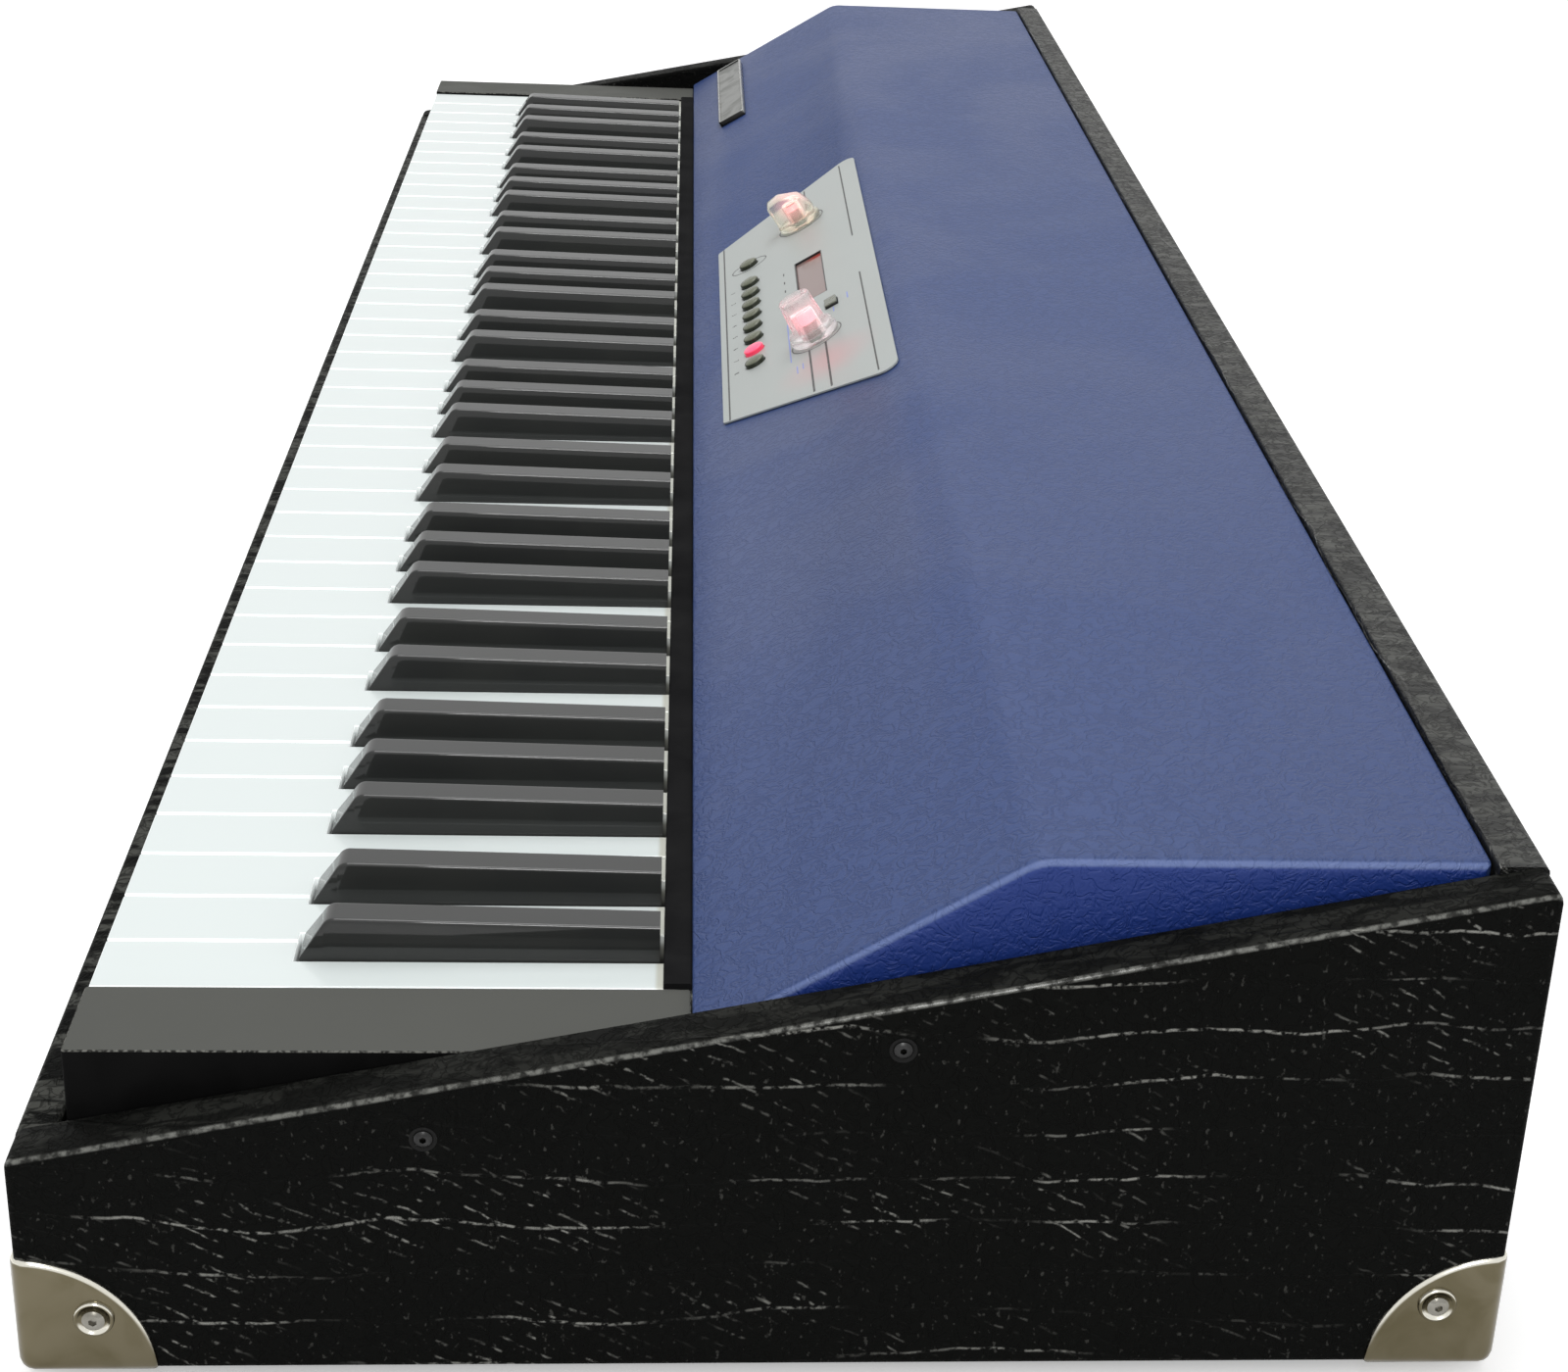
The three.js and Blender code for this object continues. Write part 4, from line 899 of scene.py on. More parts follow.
def button_plastic(name, top, side, roughness, glow=0.0, crown_rise=2.5 * mm):
    """Shiny plastic that is lighter on its crown than on its skirt, found by the height on the slope."""
    material, tree, shader, place = finish_material(
        name, top, roughness,
        Specular_IOR_Level=0.35, Coat_Weight=0.1, Coat_Roughness=0.08, Emission_Strength=glow)
    crown_foot = slope_foot + crown_rise
    upward = vector_maths(tree, "DOT_PRODUCT", place, slope_normal)
    shade = mixed(tree, ramp(tree, upward, crown_foot - 0.3 * mm, crown_foot + 0.5 * mm), side, top)
    even = use(tree, moulded, {"Vector": place, "Patch Size": 300.0})
    feed(tree, shader, Base_Color=shade,
         Roughness=gloss(tree, even["Tone"], roughness - 0.04, roughness + 0.05))
    if glow:
        feed(tree, shader, Emission_Color=shade)
    return material


SMOKED = button_plastic("smoked_button", (0.130, 0.140, 0.096), (0.016, 0.020, 0.010), 0.28)
LIT_RED = button_plastic("lit_button", (0.9, 0.09, 0.17), (0.55, 0.03, 0.07), 0.3, glow=0.75)
MENU_BLACK = button_plastic(
    "menu_black", (0.14, 0.15, 0.115), (0.008, 0.007, 0.007), 0.3, crown_rise=1.9 * mm)
print("finish:", SMOKED.name, LIT_RED.name, MENU_BLACK.name)

# %% Lamps, ink and the display
LAMP_PALE, LAMP_MIDDLE = (0.62, 0.50, 0.50), 10.5 * mm
LAMP_FULL, LAMP_FADED = 1 * mm, 5 * mm


def glowing(name, colour, strength):
    """A small light source on the slope, strongest at its middle height and pale towards both ends."""
    material, tree, shader, place = finish_material(name, colour, 0.4, Emission_Strength=strength)
    even = use(tree, moulded, {"Vector": place, "Patch Size": 500.0})
    upward = vector_maths(tree, "DOT_PRODUCT", place, slope_normal)
    ends = ramp(tree, off_middle(tree, upward, slope_foot + LAMP_MIDDLE), LAMP_FULL, LAMP_FADED)
    uneven = mixed(tree, even["Tone"], tuple(0.8 * part for part in colour), colour)
    feed(tree, shader, Emission_Color=mixed(tree, ends, uneven, LAMP_PALE))
    return material


def ink(name, colour):
    """Printed ink, worn thin in places."""
    material, tree, shader, place = finish_material(name, colour, 0.5)
    even = use(tree, moulded, {"Vector": place, "Patch Size": 400.0})
    feed(tree, shader, Base_Color=mixed(tree, even["Tone"], colour, tuple(part + 0.04 for part in colour)))
    return material


LAMP_RED = glowing("lamp_red", (1.0, 0.27, 0.31), 0.85)
INK_BLACK = ink("ink_black", (0.03, 0.03, 0.03))
INK_BLUE = ink("ink_blue", (0.22, 0.27, 0.62))

display_x, display_y = spans("display_window")[:2]
# A painted red gleam near one corner of the display.
GLEAM_X, GLEAM_Y = display_x[0] + 5 * mm, display_y[1] - 13 * mm
DISPLAY_GREY, DISPLAY_RED = (0.230, 0.155, 0.142), (0.36, 0.060, 0.045)
DISPLAY, tree, shader, place = finish_material("display_face", DISPLAY_GREY, 0.25, Specular_IOR_Level=0.3)
axes = add(tree, "SeparateXYZ", {"Vector": place}).outputs
gleam_along = ramp(tree, axes["X"], GLEAM_X, GLEAM_X + 5 * mm, 1.0, 0.0)
gleam_up = ramp(tree, axes["Y"], GLEAM_Y, GLEAM_Y + 6 * mm)
even = use(tree, moulded, {"Vector": place, "Patch Size": 80.0})
feed(tree, shader, Base_Color=mixed(tree, times(tree, gleam_along, gleam_up), DISPLAY_GREY, DISPLAY_RED),
     Roughness=gloss(tree, even["Tone"], 0.08, 0.18))
print("finish:", DISPLAY.name, INK_BLACK.name, INK_BLUE.name, LAMP_RED.name)

# %% [markdown]
# ## The case
# Five boards make the case: two cheeks whose top edges rise to the rear, a front rail, a back panel and
# the base. Under the cloth each edge is rounded by a good millimetre, and those edges carry a painted
# highlight. A cheek is a plate cut to its side view. The rail and the panel are cut to their cross-section,
# so that their long edges are round. One piece of cloth covers each corner of the case, so their square ends
# reach into the cheeks by the radius of a rounded edge. That closes the groove between two rounded edges.

# %% Cheeks, rail and base
CLOTH_EDGE = 1.6 * mm
CLOTH_CORNER = 2.8 * mm
JOINT_EDGE = 0.3 * mm

cheek_corners = [(front, underside), (rear, underside), (rear, case_top), (front, rail_top)]
cheek_outline = rounded(cheek_corners, CLOTH_CORNER)
for side in ("left", "right"):
    board = upright_plate(cheek_outline, *span(f"{side}_cheek", 0), CLOTH_EDGE)
    make(f"{side}_cheek_cloth", [board], CLOTH_OF_CHEEKS, nodes=[f"{side}_cheek"])

(rail_left, rail_right), rail_y, rail_z = spans("front_rail")
rail_outline = rectangle(rail_y, rail_z, [CLOTH_CORNER, JOINT_EDGE, CLOTH_EDGE, CLOTH_EDGE], 4)
rail = upright_plate(rail_outline, rail_left - CLOTH_EDGE, rail_right + CLOTH_EDGE, JOINT_EDGE)
make("front_rail_cloth", [rail], CLOTH_OF_RAIL, nodes=["front_rail"])

base_x, base_y, base_z = spans("base_board")
base = plate(rectangle(base_x, base_y), *base_z, JOINT_EDGE)
make("base_board_cloth", [base], CLOTH_OF_BOARDS, nodes=["base_board"])
print("case boards:", made[-4:])

# %% [markdown]
# The back panel has a shallow pocket for the connector plate. Its cross-section is carried along x in
# steps, and where a step and a point of the section both lie inside the pocket, the point is pushed in.
# Doubled steps and doubled points at the pocket's border make its walls.

# %% Back panel with its pocket
POCKET_GAP = 0.4 * mm
POCKET_DEPTH = 2.4 * mm
INNER_EDGE = 0.8 * mm
LONGEST_ARC_SIDE = 20 * mm
STEP = 0.05 * mm


def doubled(limits):
    """Both limits, and a point just outside each."""
    return [limits[0] - STEP, limits[0], limits[1], limits[1] + STEP]


(panel_left, panel_right), panel_y, panel_z = spans("back_panel")
socket_x, socket_y, socket_z = spans("connector_plate")
pocket_x = np.array(socket_x) + (-POCKET_GAP, POCKET_GAP)
pocket_z = np.array(socket_z) + (-POCKET_GAP, POCKET_GAP)
section = rectangle(panel_y, panel_z, [JOINT_EDGE, CLOTH_CORNER, CLOTH_EDGE, INNER_EDGE], 4)
rear_start = np.flatnonzero(np.diff(section[:, 1]) > LONGEST_ARC_SIDE)[0] + 1
section = np.insert(section, rear_start, [(panel_y[1], z) for z in doubled(pocket_z)], axis=0)
rings = carried(section, [panel_left - CLOTH_EDGE, *doubled(pocket_x), panel_right + CLOTH_EDGE])
in_x = (rings[..., 0] >= pocket_x[0]) & (rings[..., 0] <= pocket_x[1])
in_z = (rings[..., 2] >= pocket_z[0]) & (rings[..., 2] <= pocket_z[1])
pocket = in_x & in_z & (rings[..., 1] > panel_y[1] - STEP)
rings[..., 1] -= np.where(pocket, POCKET_DEPTH, 0)
make("back_panel_cloth", [loft(rings)], CLOTH_OF_BOARDS, nodes=["back_panel"])
print("back panel:", rings.shape[0], "steps of", rings.shape[1], "points")

# %% [markdown]
# ### Corner plates
# A corner plate is pressed from one disc of steel over three faces of the case. Seen from the corner it
# is a fan of three quarter circles, so its surface has two parameters: the distance from the corner and
# the angle round it. Two steps turn the fan into pressed metal. Points closer to an edge than the press
# radius are pulled onto a circle about the edge, and the outermost rings drop to the cloth as a rim.

# %% Corner plates
CORNER_REACH = 33 * mm
CORNER_THICKNESS = 1.2 * mm
CORNER_PRESS = 4.2 * mm
INNERMOST = 0.5 * mm
RIM_STEPS = 5
PLATE_RINGS = 14
FAN_STEPS = 72


def pressed(places, radius, sunk):
    """Rounds the edges of a block that fills the octant of positive coordinates.

    A point is compared with its copy held at least one radius inside all faces. It is set one radius
    away from that copy, less the depth that it is sunk by, in its own direction.
    """
    held = np.maximum(places, radius)
    return held + (radius - sunk) * unit(places - held)


def corner_plate(corner, inside):
    """A pressed plate over a corner of the case. inside holds the way into the case along x, y and z."""
    turn = np.linspace(0, 3, FAN_STEPS, endpoint=False)
    quarter = (turn - np.floor(turn)) * np.pi / 2
    face = np.floor(turn).astype(int)
    spread = np.zeros((FAN_STEPS, 3))
    spread[np.arange(FAN_STEPS), face] = np.cos(quarter)
    spread[np.arange(FAN_STEPS), (face + 1) % 3] = np.sin(quarter)
    rim = np.linspace(0, np.pi / 2, RIM_STEPS)[1:]
    flat_reach = CORNER_REACH - CORNER_THICKNESS
    flat_radii = np.linspace(INNERMOST, flat_reach, PLATE_RINGS)
    radii = np.append(flat_radii, flat_reach + CORNER_THICKNESS * np.sin(rim))
    sunk = np.append(np.zeros(PLATE_RINGS), CORNER_THICKNESS * (1 - np.cos(rim)))
    flat = radii[:, None, None] * spread + CORNER_THICKNESS * (spread > 0)
    points = pressed(flat, CORNER_PRESS, sunk[:, None, None]) - CORNER_THICKNESS
    rings = np.asarray(corner) + points * np.asarray(inside)
    return loft(rings if np.prod(inside) > 0 else rings[:, ::-1])


for end, y in ENDS:
    for side, x in SIDES:
        shell = corner_plate((x, y, underside), (-np.sign(x), -np.sign(y), 1))
        name = f"{end}_{side}_corner"
        make(f"{name}_plate", [shell], NICKEL, nodes=[name])
print("corner plates:", made[-4:])

# %% [markdown]
# ### Screws
# Every screw is a turned head with a recess. The corner screws are raised heads that sit in cup washers.
# The recess is a hexagon cut down into the head, and that can be part of the turned shape too: the inner
# rings of the head simply take the radius of a hexagon, r cos 30 / cos(angle to the nearest flat).

# %% Screws and cup washers
SCREW_STEPS = 36
SCREW_FROM_END = {"front": (18.6 * mm, 16.5 * mm), "rear": (16.4 * mm, 19.2 * mm)}
HEAD = np.array([2.8, 1.5, 1.1, 0.9]) * mm
WASHER = np.array([5.0, 3.0, 1.1]) * mm
WASHER_LIFT = 0.4 * mm


def screw_head(radius, height, recess, depth):
    """A crowned screw head with a six-sided recess, standing on z = 0."""
    crown = np.linspace(0, 1, 6)[:, None]
    outer = np.concatenate([[[radius, 0.0]], np.c_[
        radius - (radius - 1.25 * recess) * crown, height * (0.55 + 0.45 * np.sin(crown * np.pi / 2))]])
    inner = [(recess, height), (recess, height - 0.3 * depth), (recess, height - depth),
             (0.1 * recess, height - depth)]
    angle = np.linspace(0, 2 * np.pi, SCREW_STEPS, endpoint=False)
    profile = np.concatenate([outer, inner])
    shape = np.ones((len(profile), SCREW_STEPS))
    shape[len(outer):] = hexagon_radius(angle, math.cos(math.pi / 6))
    radii = profile[:, :1] * shape
    heights = np.broadcast_to(profile[:, 1:], radii.shape)
    return loft(np.stack([radii * np.cos(angle), radii * np.sin(angle), heights], -1))


def cup_washer(radius, hole, height):
    """A cup washer: a rolled rim around a sunk seat."""
    turn = np.linspace(0, np.pi, 7)[:-1]
    roll = 0.3 * (radius - hole)
    rolled = np.c_[radius - roll + roll * np.cos(turn), height * np.sin(turn) ** 0.7]
    return turned(np.concatenate([rolled, [(hole, 0.35 * height), (0.2 * hole, 0.3 * height)]]), SCREW_STEPS)


def on_face(part, place, normal):
    """A part that stands on a face, with its z along the face's outward direction."""
    u = unit(np.cross((0.0, 0.0, 1.0) if abs(normal[2]) < 0.9 else (0.0, 1.0, 0.0), normal))
    return placed(part, place, u, np.cross(normal, u))


def fastened(name, place, normal, washer=True, size=1.0, finish=STEEL):
    """A screw on a face, with or without its cup washer, which has the finish of the corner plates."""
    lifted = np.asarray(place) + (WASHER_LIFT if washer else 0.0) * np.asarray(normal)
    make(name, [on_face(screw_head(*(HEAD * size)), lifted, normal)], finish)
    if washer:
        make(f"{name}_washer", [on_face(cup_washer(*WASHER), place, normal)], NICKEL)


for end, y in ENDS:
    from_end, rise = SCREW_FROM_END[end]
    for side, x in SIDES:
        (out_x, skin_x), (out_y, skin_y) = ((np.sign(c), c + CORNER_THICKNESS * np.sign(c)) for c in (x, y))
        fastened(f"{end}_{side}_side_screw", (skin_x, y - out_y * from_end, underside + rise), (out_x, 0, 0))
        fastened(f"{end}_{side}_end_screw", (x - out_x * from_end, skin_y, underside + rise), (0, out_y, 0))
print("corner screws:", len([name for name in made if name.endswith("_screw")]))

# %% [markdown]
# Two black screws go through each cheek. One holds the cover and one the key frame. They sit slightly
# below the cloth, so each gets a dark dimple: a shallow dished ring that the screw head lies in.

# %% Cheek screws
CHEEK_SCREWS = {"cover": (29.0 * mm, 101.5 * mm), "frame": (-85.5 * mm, 76.0 * mm)}
DIMPLE_HALF, DIMPLE_DEPTH = 3.4 * mm, 0.5 * mm


def dimple(radius, depth):
    """A dished ring whose lip lies on the face and whose middle is sunk, closed behind."""
    turn = np.linspace(0, np.pi / 2, 5)
    lip = np.c_[radius * (1 - 0.35 * np.sin(turn)), depth * (np.cos(turn) - 0.6)]
    return turned(np.concatenate([[[radius, -depth]], lip, [[0.05 * radius, -0.6 * depth]]]), SCREW_STEPS)


for side, x in SIDES:
    for job, (y, z) in CHEEK_SCREWS.items():
        outward = np.array([np.sign(x), 0.0, 0.0])
        name = f"{side}_cheek_{job}_screw"
        seat = on_face(dimple(DIMPLE_HALF, DIMPLE_DEPTH), (x, y, z), outward)
        make(f"{name}_seat", [seat], RUBBER)
        fastened(name, (x, y, z) - DIMPLE_DEPTH * outward, outward,
                 washer=False, size=0.8, finish=BLACK_STEEL)
print("cheek screws:", made[-1])

# %% [markdown]
# ## The keys
# ### White keys
# The frame already has the notches for the black keys, so each group of white keys is a copy of its node
# with rounded edges. A good half millimetre is what a moulded key has.

# %% White keys
WHITE_EDGE = 0.6 * mm

white_nodes = [name for name in frame["nodes"] if name.startswith("white_key")]
for node in white_nodes:
    softened(f"{node}_moulded", node, WHITE_EDGE, WHITE_KEY, body=node)
print("white key pieces:", len(white_nodes))

# %% [markdown]
# ### Black keys
# A black key is a rounded ridge: its cross-section is a wedge that narrows upwards, and its height
# follows a side view with a sloping nose, a rounded brow and a long top that falls slightly to the rear.
# So the surface is the cross-section, carried along the side view. The width goes from that of the base to
# that of the top over the first four fifths of the full height, and then stays.

# %% Black keys
BLACK_BASE, BLACK_TOP, BLACK_EDGE = 13 * mm, 9.4 * mm, 0.7 * mm
BLACK_RISE, BLACK_TAIL_RISE, BLACK_SHOULDER = 10.8 * mm, 9 * mm, 0.5 * mm
NARROWED_BY = 0.8
BLACK_LENGTH, NOSE_RUN, BROW_RADIUS = 92.4 * mm, 7.1 * mm, 3.5 * mm
ARM_WIDTH, ARM_HEIGHT = 10 * mm, 4.5 * mm
BAR_DEPTH, BAR_HEIGHT, BAR_GAP = 6.7 * mm, 3.5 * mm, 1.5 * mm

nose_y, arm_end = span("black_key_Ds7", 1)
arm_floor = span("black_key_Ds7", 2)[0]
tail_y = nose_y + BLACK_LENGTH
side_view = rounded(
    [(nose_y, key_top + BLACK_SHOULDER), (nose_y + NOSE_RUN, key_top + BLACK_RISE),
     (tail_y, key_top + BLACK_TAIL_RISE)],
    [0, BROW_RADIUS, 0], steps=8, closed=False)
flat_stations = np.linspace(side_view[-2], side_view[-1], 4)[1:-1]
side_view = np.concatenate([side_view[:-1], flat_stations, side_view[-1:]])


def black_cap(middle):
    """The visible part of one black key about its middle line."""
    y, z = side_view.T
    share = (z - key_top - BLACK_SHOULDER) / (BLACK_RISE - BLACK_SHOULDER)
    half_top = (BLACK_BASE + (BLACK_TOP - BLACK_BASE) * np.minimum(share / NARROWED_BY, 1.0)) / 2
    edge = np.minimum(BLACK_EDGE, 0.8 * (z - arm_floor))
    turn = np.linspace(0.12, np.pi / 2, 5)
    arc_x = half_top[:, None] - edge[:, None] * (1 - np.cos(turn))
    arc_z = z[:, None] - edge[:, None] * (1 - np.sin(turn))
    foot_x = np.full((len(y), 2), BLACK_BASE / 2)
    foot_z = np.tile([arm_floor, key_top + 0.4 * BLACK_SHOULDER], (len(y), 1))
    side_x = np.c_[foot_x, arc_x, half_top - 1.8 * edge]
    side_z = np.c_[foot_z, arc_z, z]
    x = np.c_[-side_x, side_x[:, ::-1]] + middle
    height = np.c_[side_z, side_z[:, ::-1]]
    return loft(np.stack([x, np.broadcast_to(y[:, None], x.shape), height], -1))


def black_arm(middle):
    """The arm of one black key, from under its tail to behind the fulcrum."""
    outline = rectangle((middle - ARM_WIDTH / 2, middle + ARM_WIDTH / 2), (tail_y - NOSE_RUN, arm_end))
    return plate(outline, arm_floor, arm_floor + ARM_HEIGHT, JOINT_EDGE)


# %% [markdown]
# The places of the black keys follow from the count of semitones. Every white key is one pitch wide, and a
# black key stands near the joint of two whites, a little beside it on its own side of the group. The keys
# of an octave share one bar, and those of the last octave move alone.

# %% Black keys in their places
WHITE_PITCH = 165 * mm / 7
FIRST_SEMITONE, KEYS, OCTAVE = 4, 73, 12
BESIDE_JOINT = {1: -0.1315, 3: 0.1315, 6: -0.178, 8: 0.0, 10: 0.178}

semitones = np.arange(FIRST_SEMITONE, FIRST_SEMITONE + KEYS)
is_black = np.isin(semitones % OCTAVE, list(BESIDE_JOINT))
whites_before = np.cumsum(~is_black) - ~is_black
left_end = -WHITE_PITCH * (~is_black).sum() / 2
octaves = [[] for octave in range(6)]
for index in np.flatnonzero(is_black):
    joint = whites_before[index] + BESIDE_JOINT[semitones[index] % OCTAVE]
    octaves[index // OCTAVE].append(left_end + joint * WHITE_PITCH)

for octave, middles in enumerate(octaves[:5], 1):
    node = f"black_keys_octave_{octave}"
    parts = [part for x in middles for part in (black_cap(x), black_arm(x))]
    bar = rectangle((middles[0] - ARM_WIDTH / 2, middles[-1] + ARM_WIDTH / 2), (arm_end - BAR_DEPTH, arm_end))
    parts.append(plate(bar, arm_floor - BAR_GAP - BAR_HEIGHT, arm_floor - BAR_GAP, JOINT_EDGE))
    make(f"{node}_moulded", parts, BLACK_KEY, body=node, nodes=[node])
for note, x in zip(("Fs6", "Gs6", "As6", "Cs7", "Ds7"), octaves[5]):
    node = f"black_key_{note}"
    make(f"{node}_moulded", [black_cap(x), black_arm(x)], BLACK_KEY, body=node, nodes=[node])
print("black keys:", sum(map(len, octaves)))

# %% [markdown]
# ### End blocks and felt
# At both ends the keys run between dull moulded blocks. Behind the keys a strip of black felt closes the
# gap to the cover. A strip of felt is not quite straight, so its top is crowned and slightly wavy.

# %% End blocks and felt
BLOCK_EDGE = 0.6 * mm
FELT_RADII = np.array([0.3, 0.3, 0.8, 0.8]) * mm
FELT_WAVE, FELT_DROP = 0.12 * mm, 0.25 * mm

for side in ("left", "right"):
    node = f"{side}_end_block"
    block_x, block_y, block_z = spans(node)
    block = plate(rectangle(block_x, block_y, 1.5 * BLOCK_EDGE), *block_z, BLOCK_EDGE)
    make(f"{node}_moulded", [block], END_BLOCK, nodes=[node])

felt_x, felt_y, felt_z = spans("felt_strip")
stations = np.linspace(*felt_x, 240)
rings = carried(rectangle(felt_y, felt_z, FELT_RADII, 4), stations)
wave = FELT_WAVE * (np.sin(stations / (11 * mm)) + np.sin(stations / (3.7 * mm)))
rings[..., 2] += np.where(rings[..., 2] > felt_z[0] + mm, wave[:, None] - FELT_DROP, 0)
make("felt_strip_cloth", [loft(rings)], FELT, nodes=["felt_strip"])
print("beside the keys:", made[-3:])

# %% [markdown]
# ## The cover
# The cover is one folded shell: a short lip, the slope, a rounded ridge, the flat top and a rear flange,
# closed by two end walls. Its side view is carried along x. At both ends it is drawn in along a quarter
# circle, which rounds the edges of the end walls. The faces under the panel, below the lip and at the
# bottom are left out, and a Solidify gives the rest its thickness inwards.

# %% Cover
COVER_EDGE = 3 * mm
COVER_THICKNESS = 2.8 * mm
COVER_LIP = 3 * mm
COVER_FLANGE = 25 * mm
WINDOW_X = (-118 * mm, 89 * mm)
WINDOW_ALONG = (24 * mm, 78 * mm)

ridge_y = cover_front + (cover_top - slope_origin[2]) / math.tan(SLOPE_ANGLE)
cover_corners = np.array([
    (cover_front, base_top), (cover_rear, base_top), (cover_rear, cover_top), (ridge_y, cover_top),
    (cover_front, slope_origin[2])])
COVER_RADII = np.array([0.2, 0.2, 1.5, 14.0, 1.2]) * mm
SMALLEST_RADIUS, NEAR = 0.05 * mm, 0.1 * mm
ARC_STEPS, END_STEPS, END_SUPPORT = 8, 6, 1.5


def cover_section(inset):
    """The cover's side view, drawn in by an inset: the corners move in and their arcs get smaller.

    Points are added on the straight sides where the window under the panel, the lip and the flange end.
    """
    arcs = rounded(inward(cover_corners, inset), np.maximum(COVER_RADII - inset, SMALLEST_RADIUS), ARC_STEPS)
    start, rear_foot, rear_top, ridge, lip = np.split(arcs, 5)
    flange = [(cover_rear - inset, cover_top - COVER_FLANGE)]
    window = [(slope_origin + along * slope_up - inset * slope_normal)[1:] for along in WINDOW_ALONG[::-1]]
    lip_end = [(cover_front + inset, slope_origin[2] - COVER_LIP)]
    return np.concatenate([start, rear_foot, flange, rear_top, ridge, window, lip, lip_end])


drawn_in, from_end = rounded_rim(COVER_EDGE, END_STEPS, END_SUPPORT)
stations = np.concatenate([-cover_right + from_end, WINDOW_X, (cover_right - from_end)[::-1]])
insets = np.concatenate([drawn_in, [0, 0], drawn_in[::-1]])
sections = [cover_section(inset) for inset in insets]
rings = np.stack([np.c_[np.full(len(section), x), section] for x, section in zip(stations, sections)])
points, faces, caps = loft(rings)
x, y, z = points[faces].mean(1).T
from_foot = points[faces].mean(1) - slope_origin
along = from_foot @ slope_up
under_panel = (np.abs(from_foot @ slope_normal) < NEAR) & (x > WINDOW_X[0]) & (x < WINDOW_X[1])
under_panel &= (along > WINDOW_ALONG[0]) & (along < WINDOW_ALONG[1])
below_lip = (y < cover_front + NEAR) & (z < slope_origin[2] - COVER_LIP)
below_flange = (y > cover_rear - NEAR) & (z < cover_top - COVER_FLANGE)
open_below = (below_lip | below_flange | (z < base_top + NEAR)) & (np.abs(x) <= cover_right - COVER_EDGE)
faces = faces[~(under_panel | open_below)]
cover = make("top_cover_vinyl", [(points, faces, caps)], COVER_VINYL, nodes=["top_cover"])
wall = cover.modifiers.new("wall", "SOLIDIFY")
wall.thickness, wall.offset, wall.use_even_offset = COVER_THICKNESS, -1, True
print("cover:", len(faces), "faces, ridge at", round(ridge_y / mm, 1), "mm")

# %% [markdown]
# ## The control panel
# The panel is a sheet of painted metal that lies on the slope, so everything on it is made flat, with x to
# the right and y up the slope, and laid on the slope at the end. The sheet itself is a copy of its node
# with a fine edge. The places of the buttons and knobs are read back from their nodes.

# %% Panel and the places on it
PANEL_EDGE = 0.15 * mm


def edges_on_slope(node):
    """The left and right, and the front and rear edge of a node in the slope's x and y."""
    low, high = reach(node, slope_up)
    return span(node, 0), (low - along_foot, high - along_foot)


def middle_on_slope(node):
    """The middle of a node in the slope's x and y."""
    return tuple(sum(edges) / 2 for edges in edges_on_slope(node))


def levels_on_slope(node):
    """The lowest and highest level of a node above the slope."""
    return tuple(level - slope_foot for level in reach(node, slope_normal))


panel_top = levels_on_slope("control_panel")[1]
softened("control_panel_sheet", "control_panel", PANEL_EDGE, PANEL_PAINT)
value_x, knob_along = middle_on_slope("value_knob")
volume_x = middle_on_slope("volume_knob")[0]
print("panel top:", round(panel_top / mm, 2), "mm above the slope; knobs at", round(knob_along / mm, 1), "mm")

# %% [markdown]
# ### Printed lines and rings
# The print on the panel is ink with a hair of thickness, so it can be made as very thin plates: strips for
# the lines, and flat rings round the knobs and the lone button. A ring has a rectangular cross-section
# that is carried around an ellipse. The rear line leaves its middle bare.

# %% Printed lines
INK_SUNK, INK_PROUD, INK_EDGE = 0.02 * mm, 0.05 * mm, 0.02 * mm
INK_LEVELS = (panel_top - INK_SUNK, panel_top + INK_PROUD)
LINE_WIDTH, KNOB_LINE_WIDTH, RING_WIDTH = 0.7 * mm, 0.9 * mm, 0.5 * mm
FRONT_LINE, REAR_LINE = 17.2 * mm, 80.8 * mm
KNOB_LINES = (53.9 * mm, 61.3 * mm)
BARE_GAP = (-46 * mm, 10 * mm)
LINE_END_INSET = 0.6 * mm
KNOB_RING, RING_REACH = 10.9 * mm, 11.4 * mm
LONE_RING = (6.0 * mm, 8.4 * mm)
FRONT_HALF, REAR_HALF = 239 * mm / 2, 319.6 * mm / 2

panel_x, panel_along = edges_on_slope("control_panel")


def panel_end(along, side):
    """The x of the panel's slanted end at a place up the slope, just inside its edge."""
    share = (along - panel_along[0]) / (panel_along[1] - panel_along[0])
    return sum(panel_x) / 2 + side * (FRONT_HALF + (REAR_HALF - FRONT_HALF) * share - LINE_END_INSET)


def strip(low_x, high_x, along, width=LINE_WIDTH):
    """A printed line along x."""
    outline = rectangle((low_x, high_x), (along - width / 2, along + width / 2), 0.1 * mm, 2)
    return on_slope(plate(outline, *INK_LEVELS, INK_EDGE, 1))


def printed_ring(x, along, radius_x, radius_along, steps=56):
    """A flat printed ring: a thin rectangle carried around an ellipse."""
    angle = np.linspace(0, 2 * np.pi, steps, endpoint=False)[:, None]
    out = np.array([0, 1, 1, 0]) * RING_WIDTH
    height = np.repeat(INK_LEVELS, 2) + 0 * angle
    ring = np.stack([(radius_x + out) * np.cos(angle), (radius_along + out) * np.sin(angle), height], -1)
    return on_slope(loft(ring[:, ::-1], around=True), x, along)


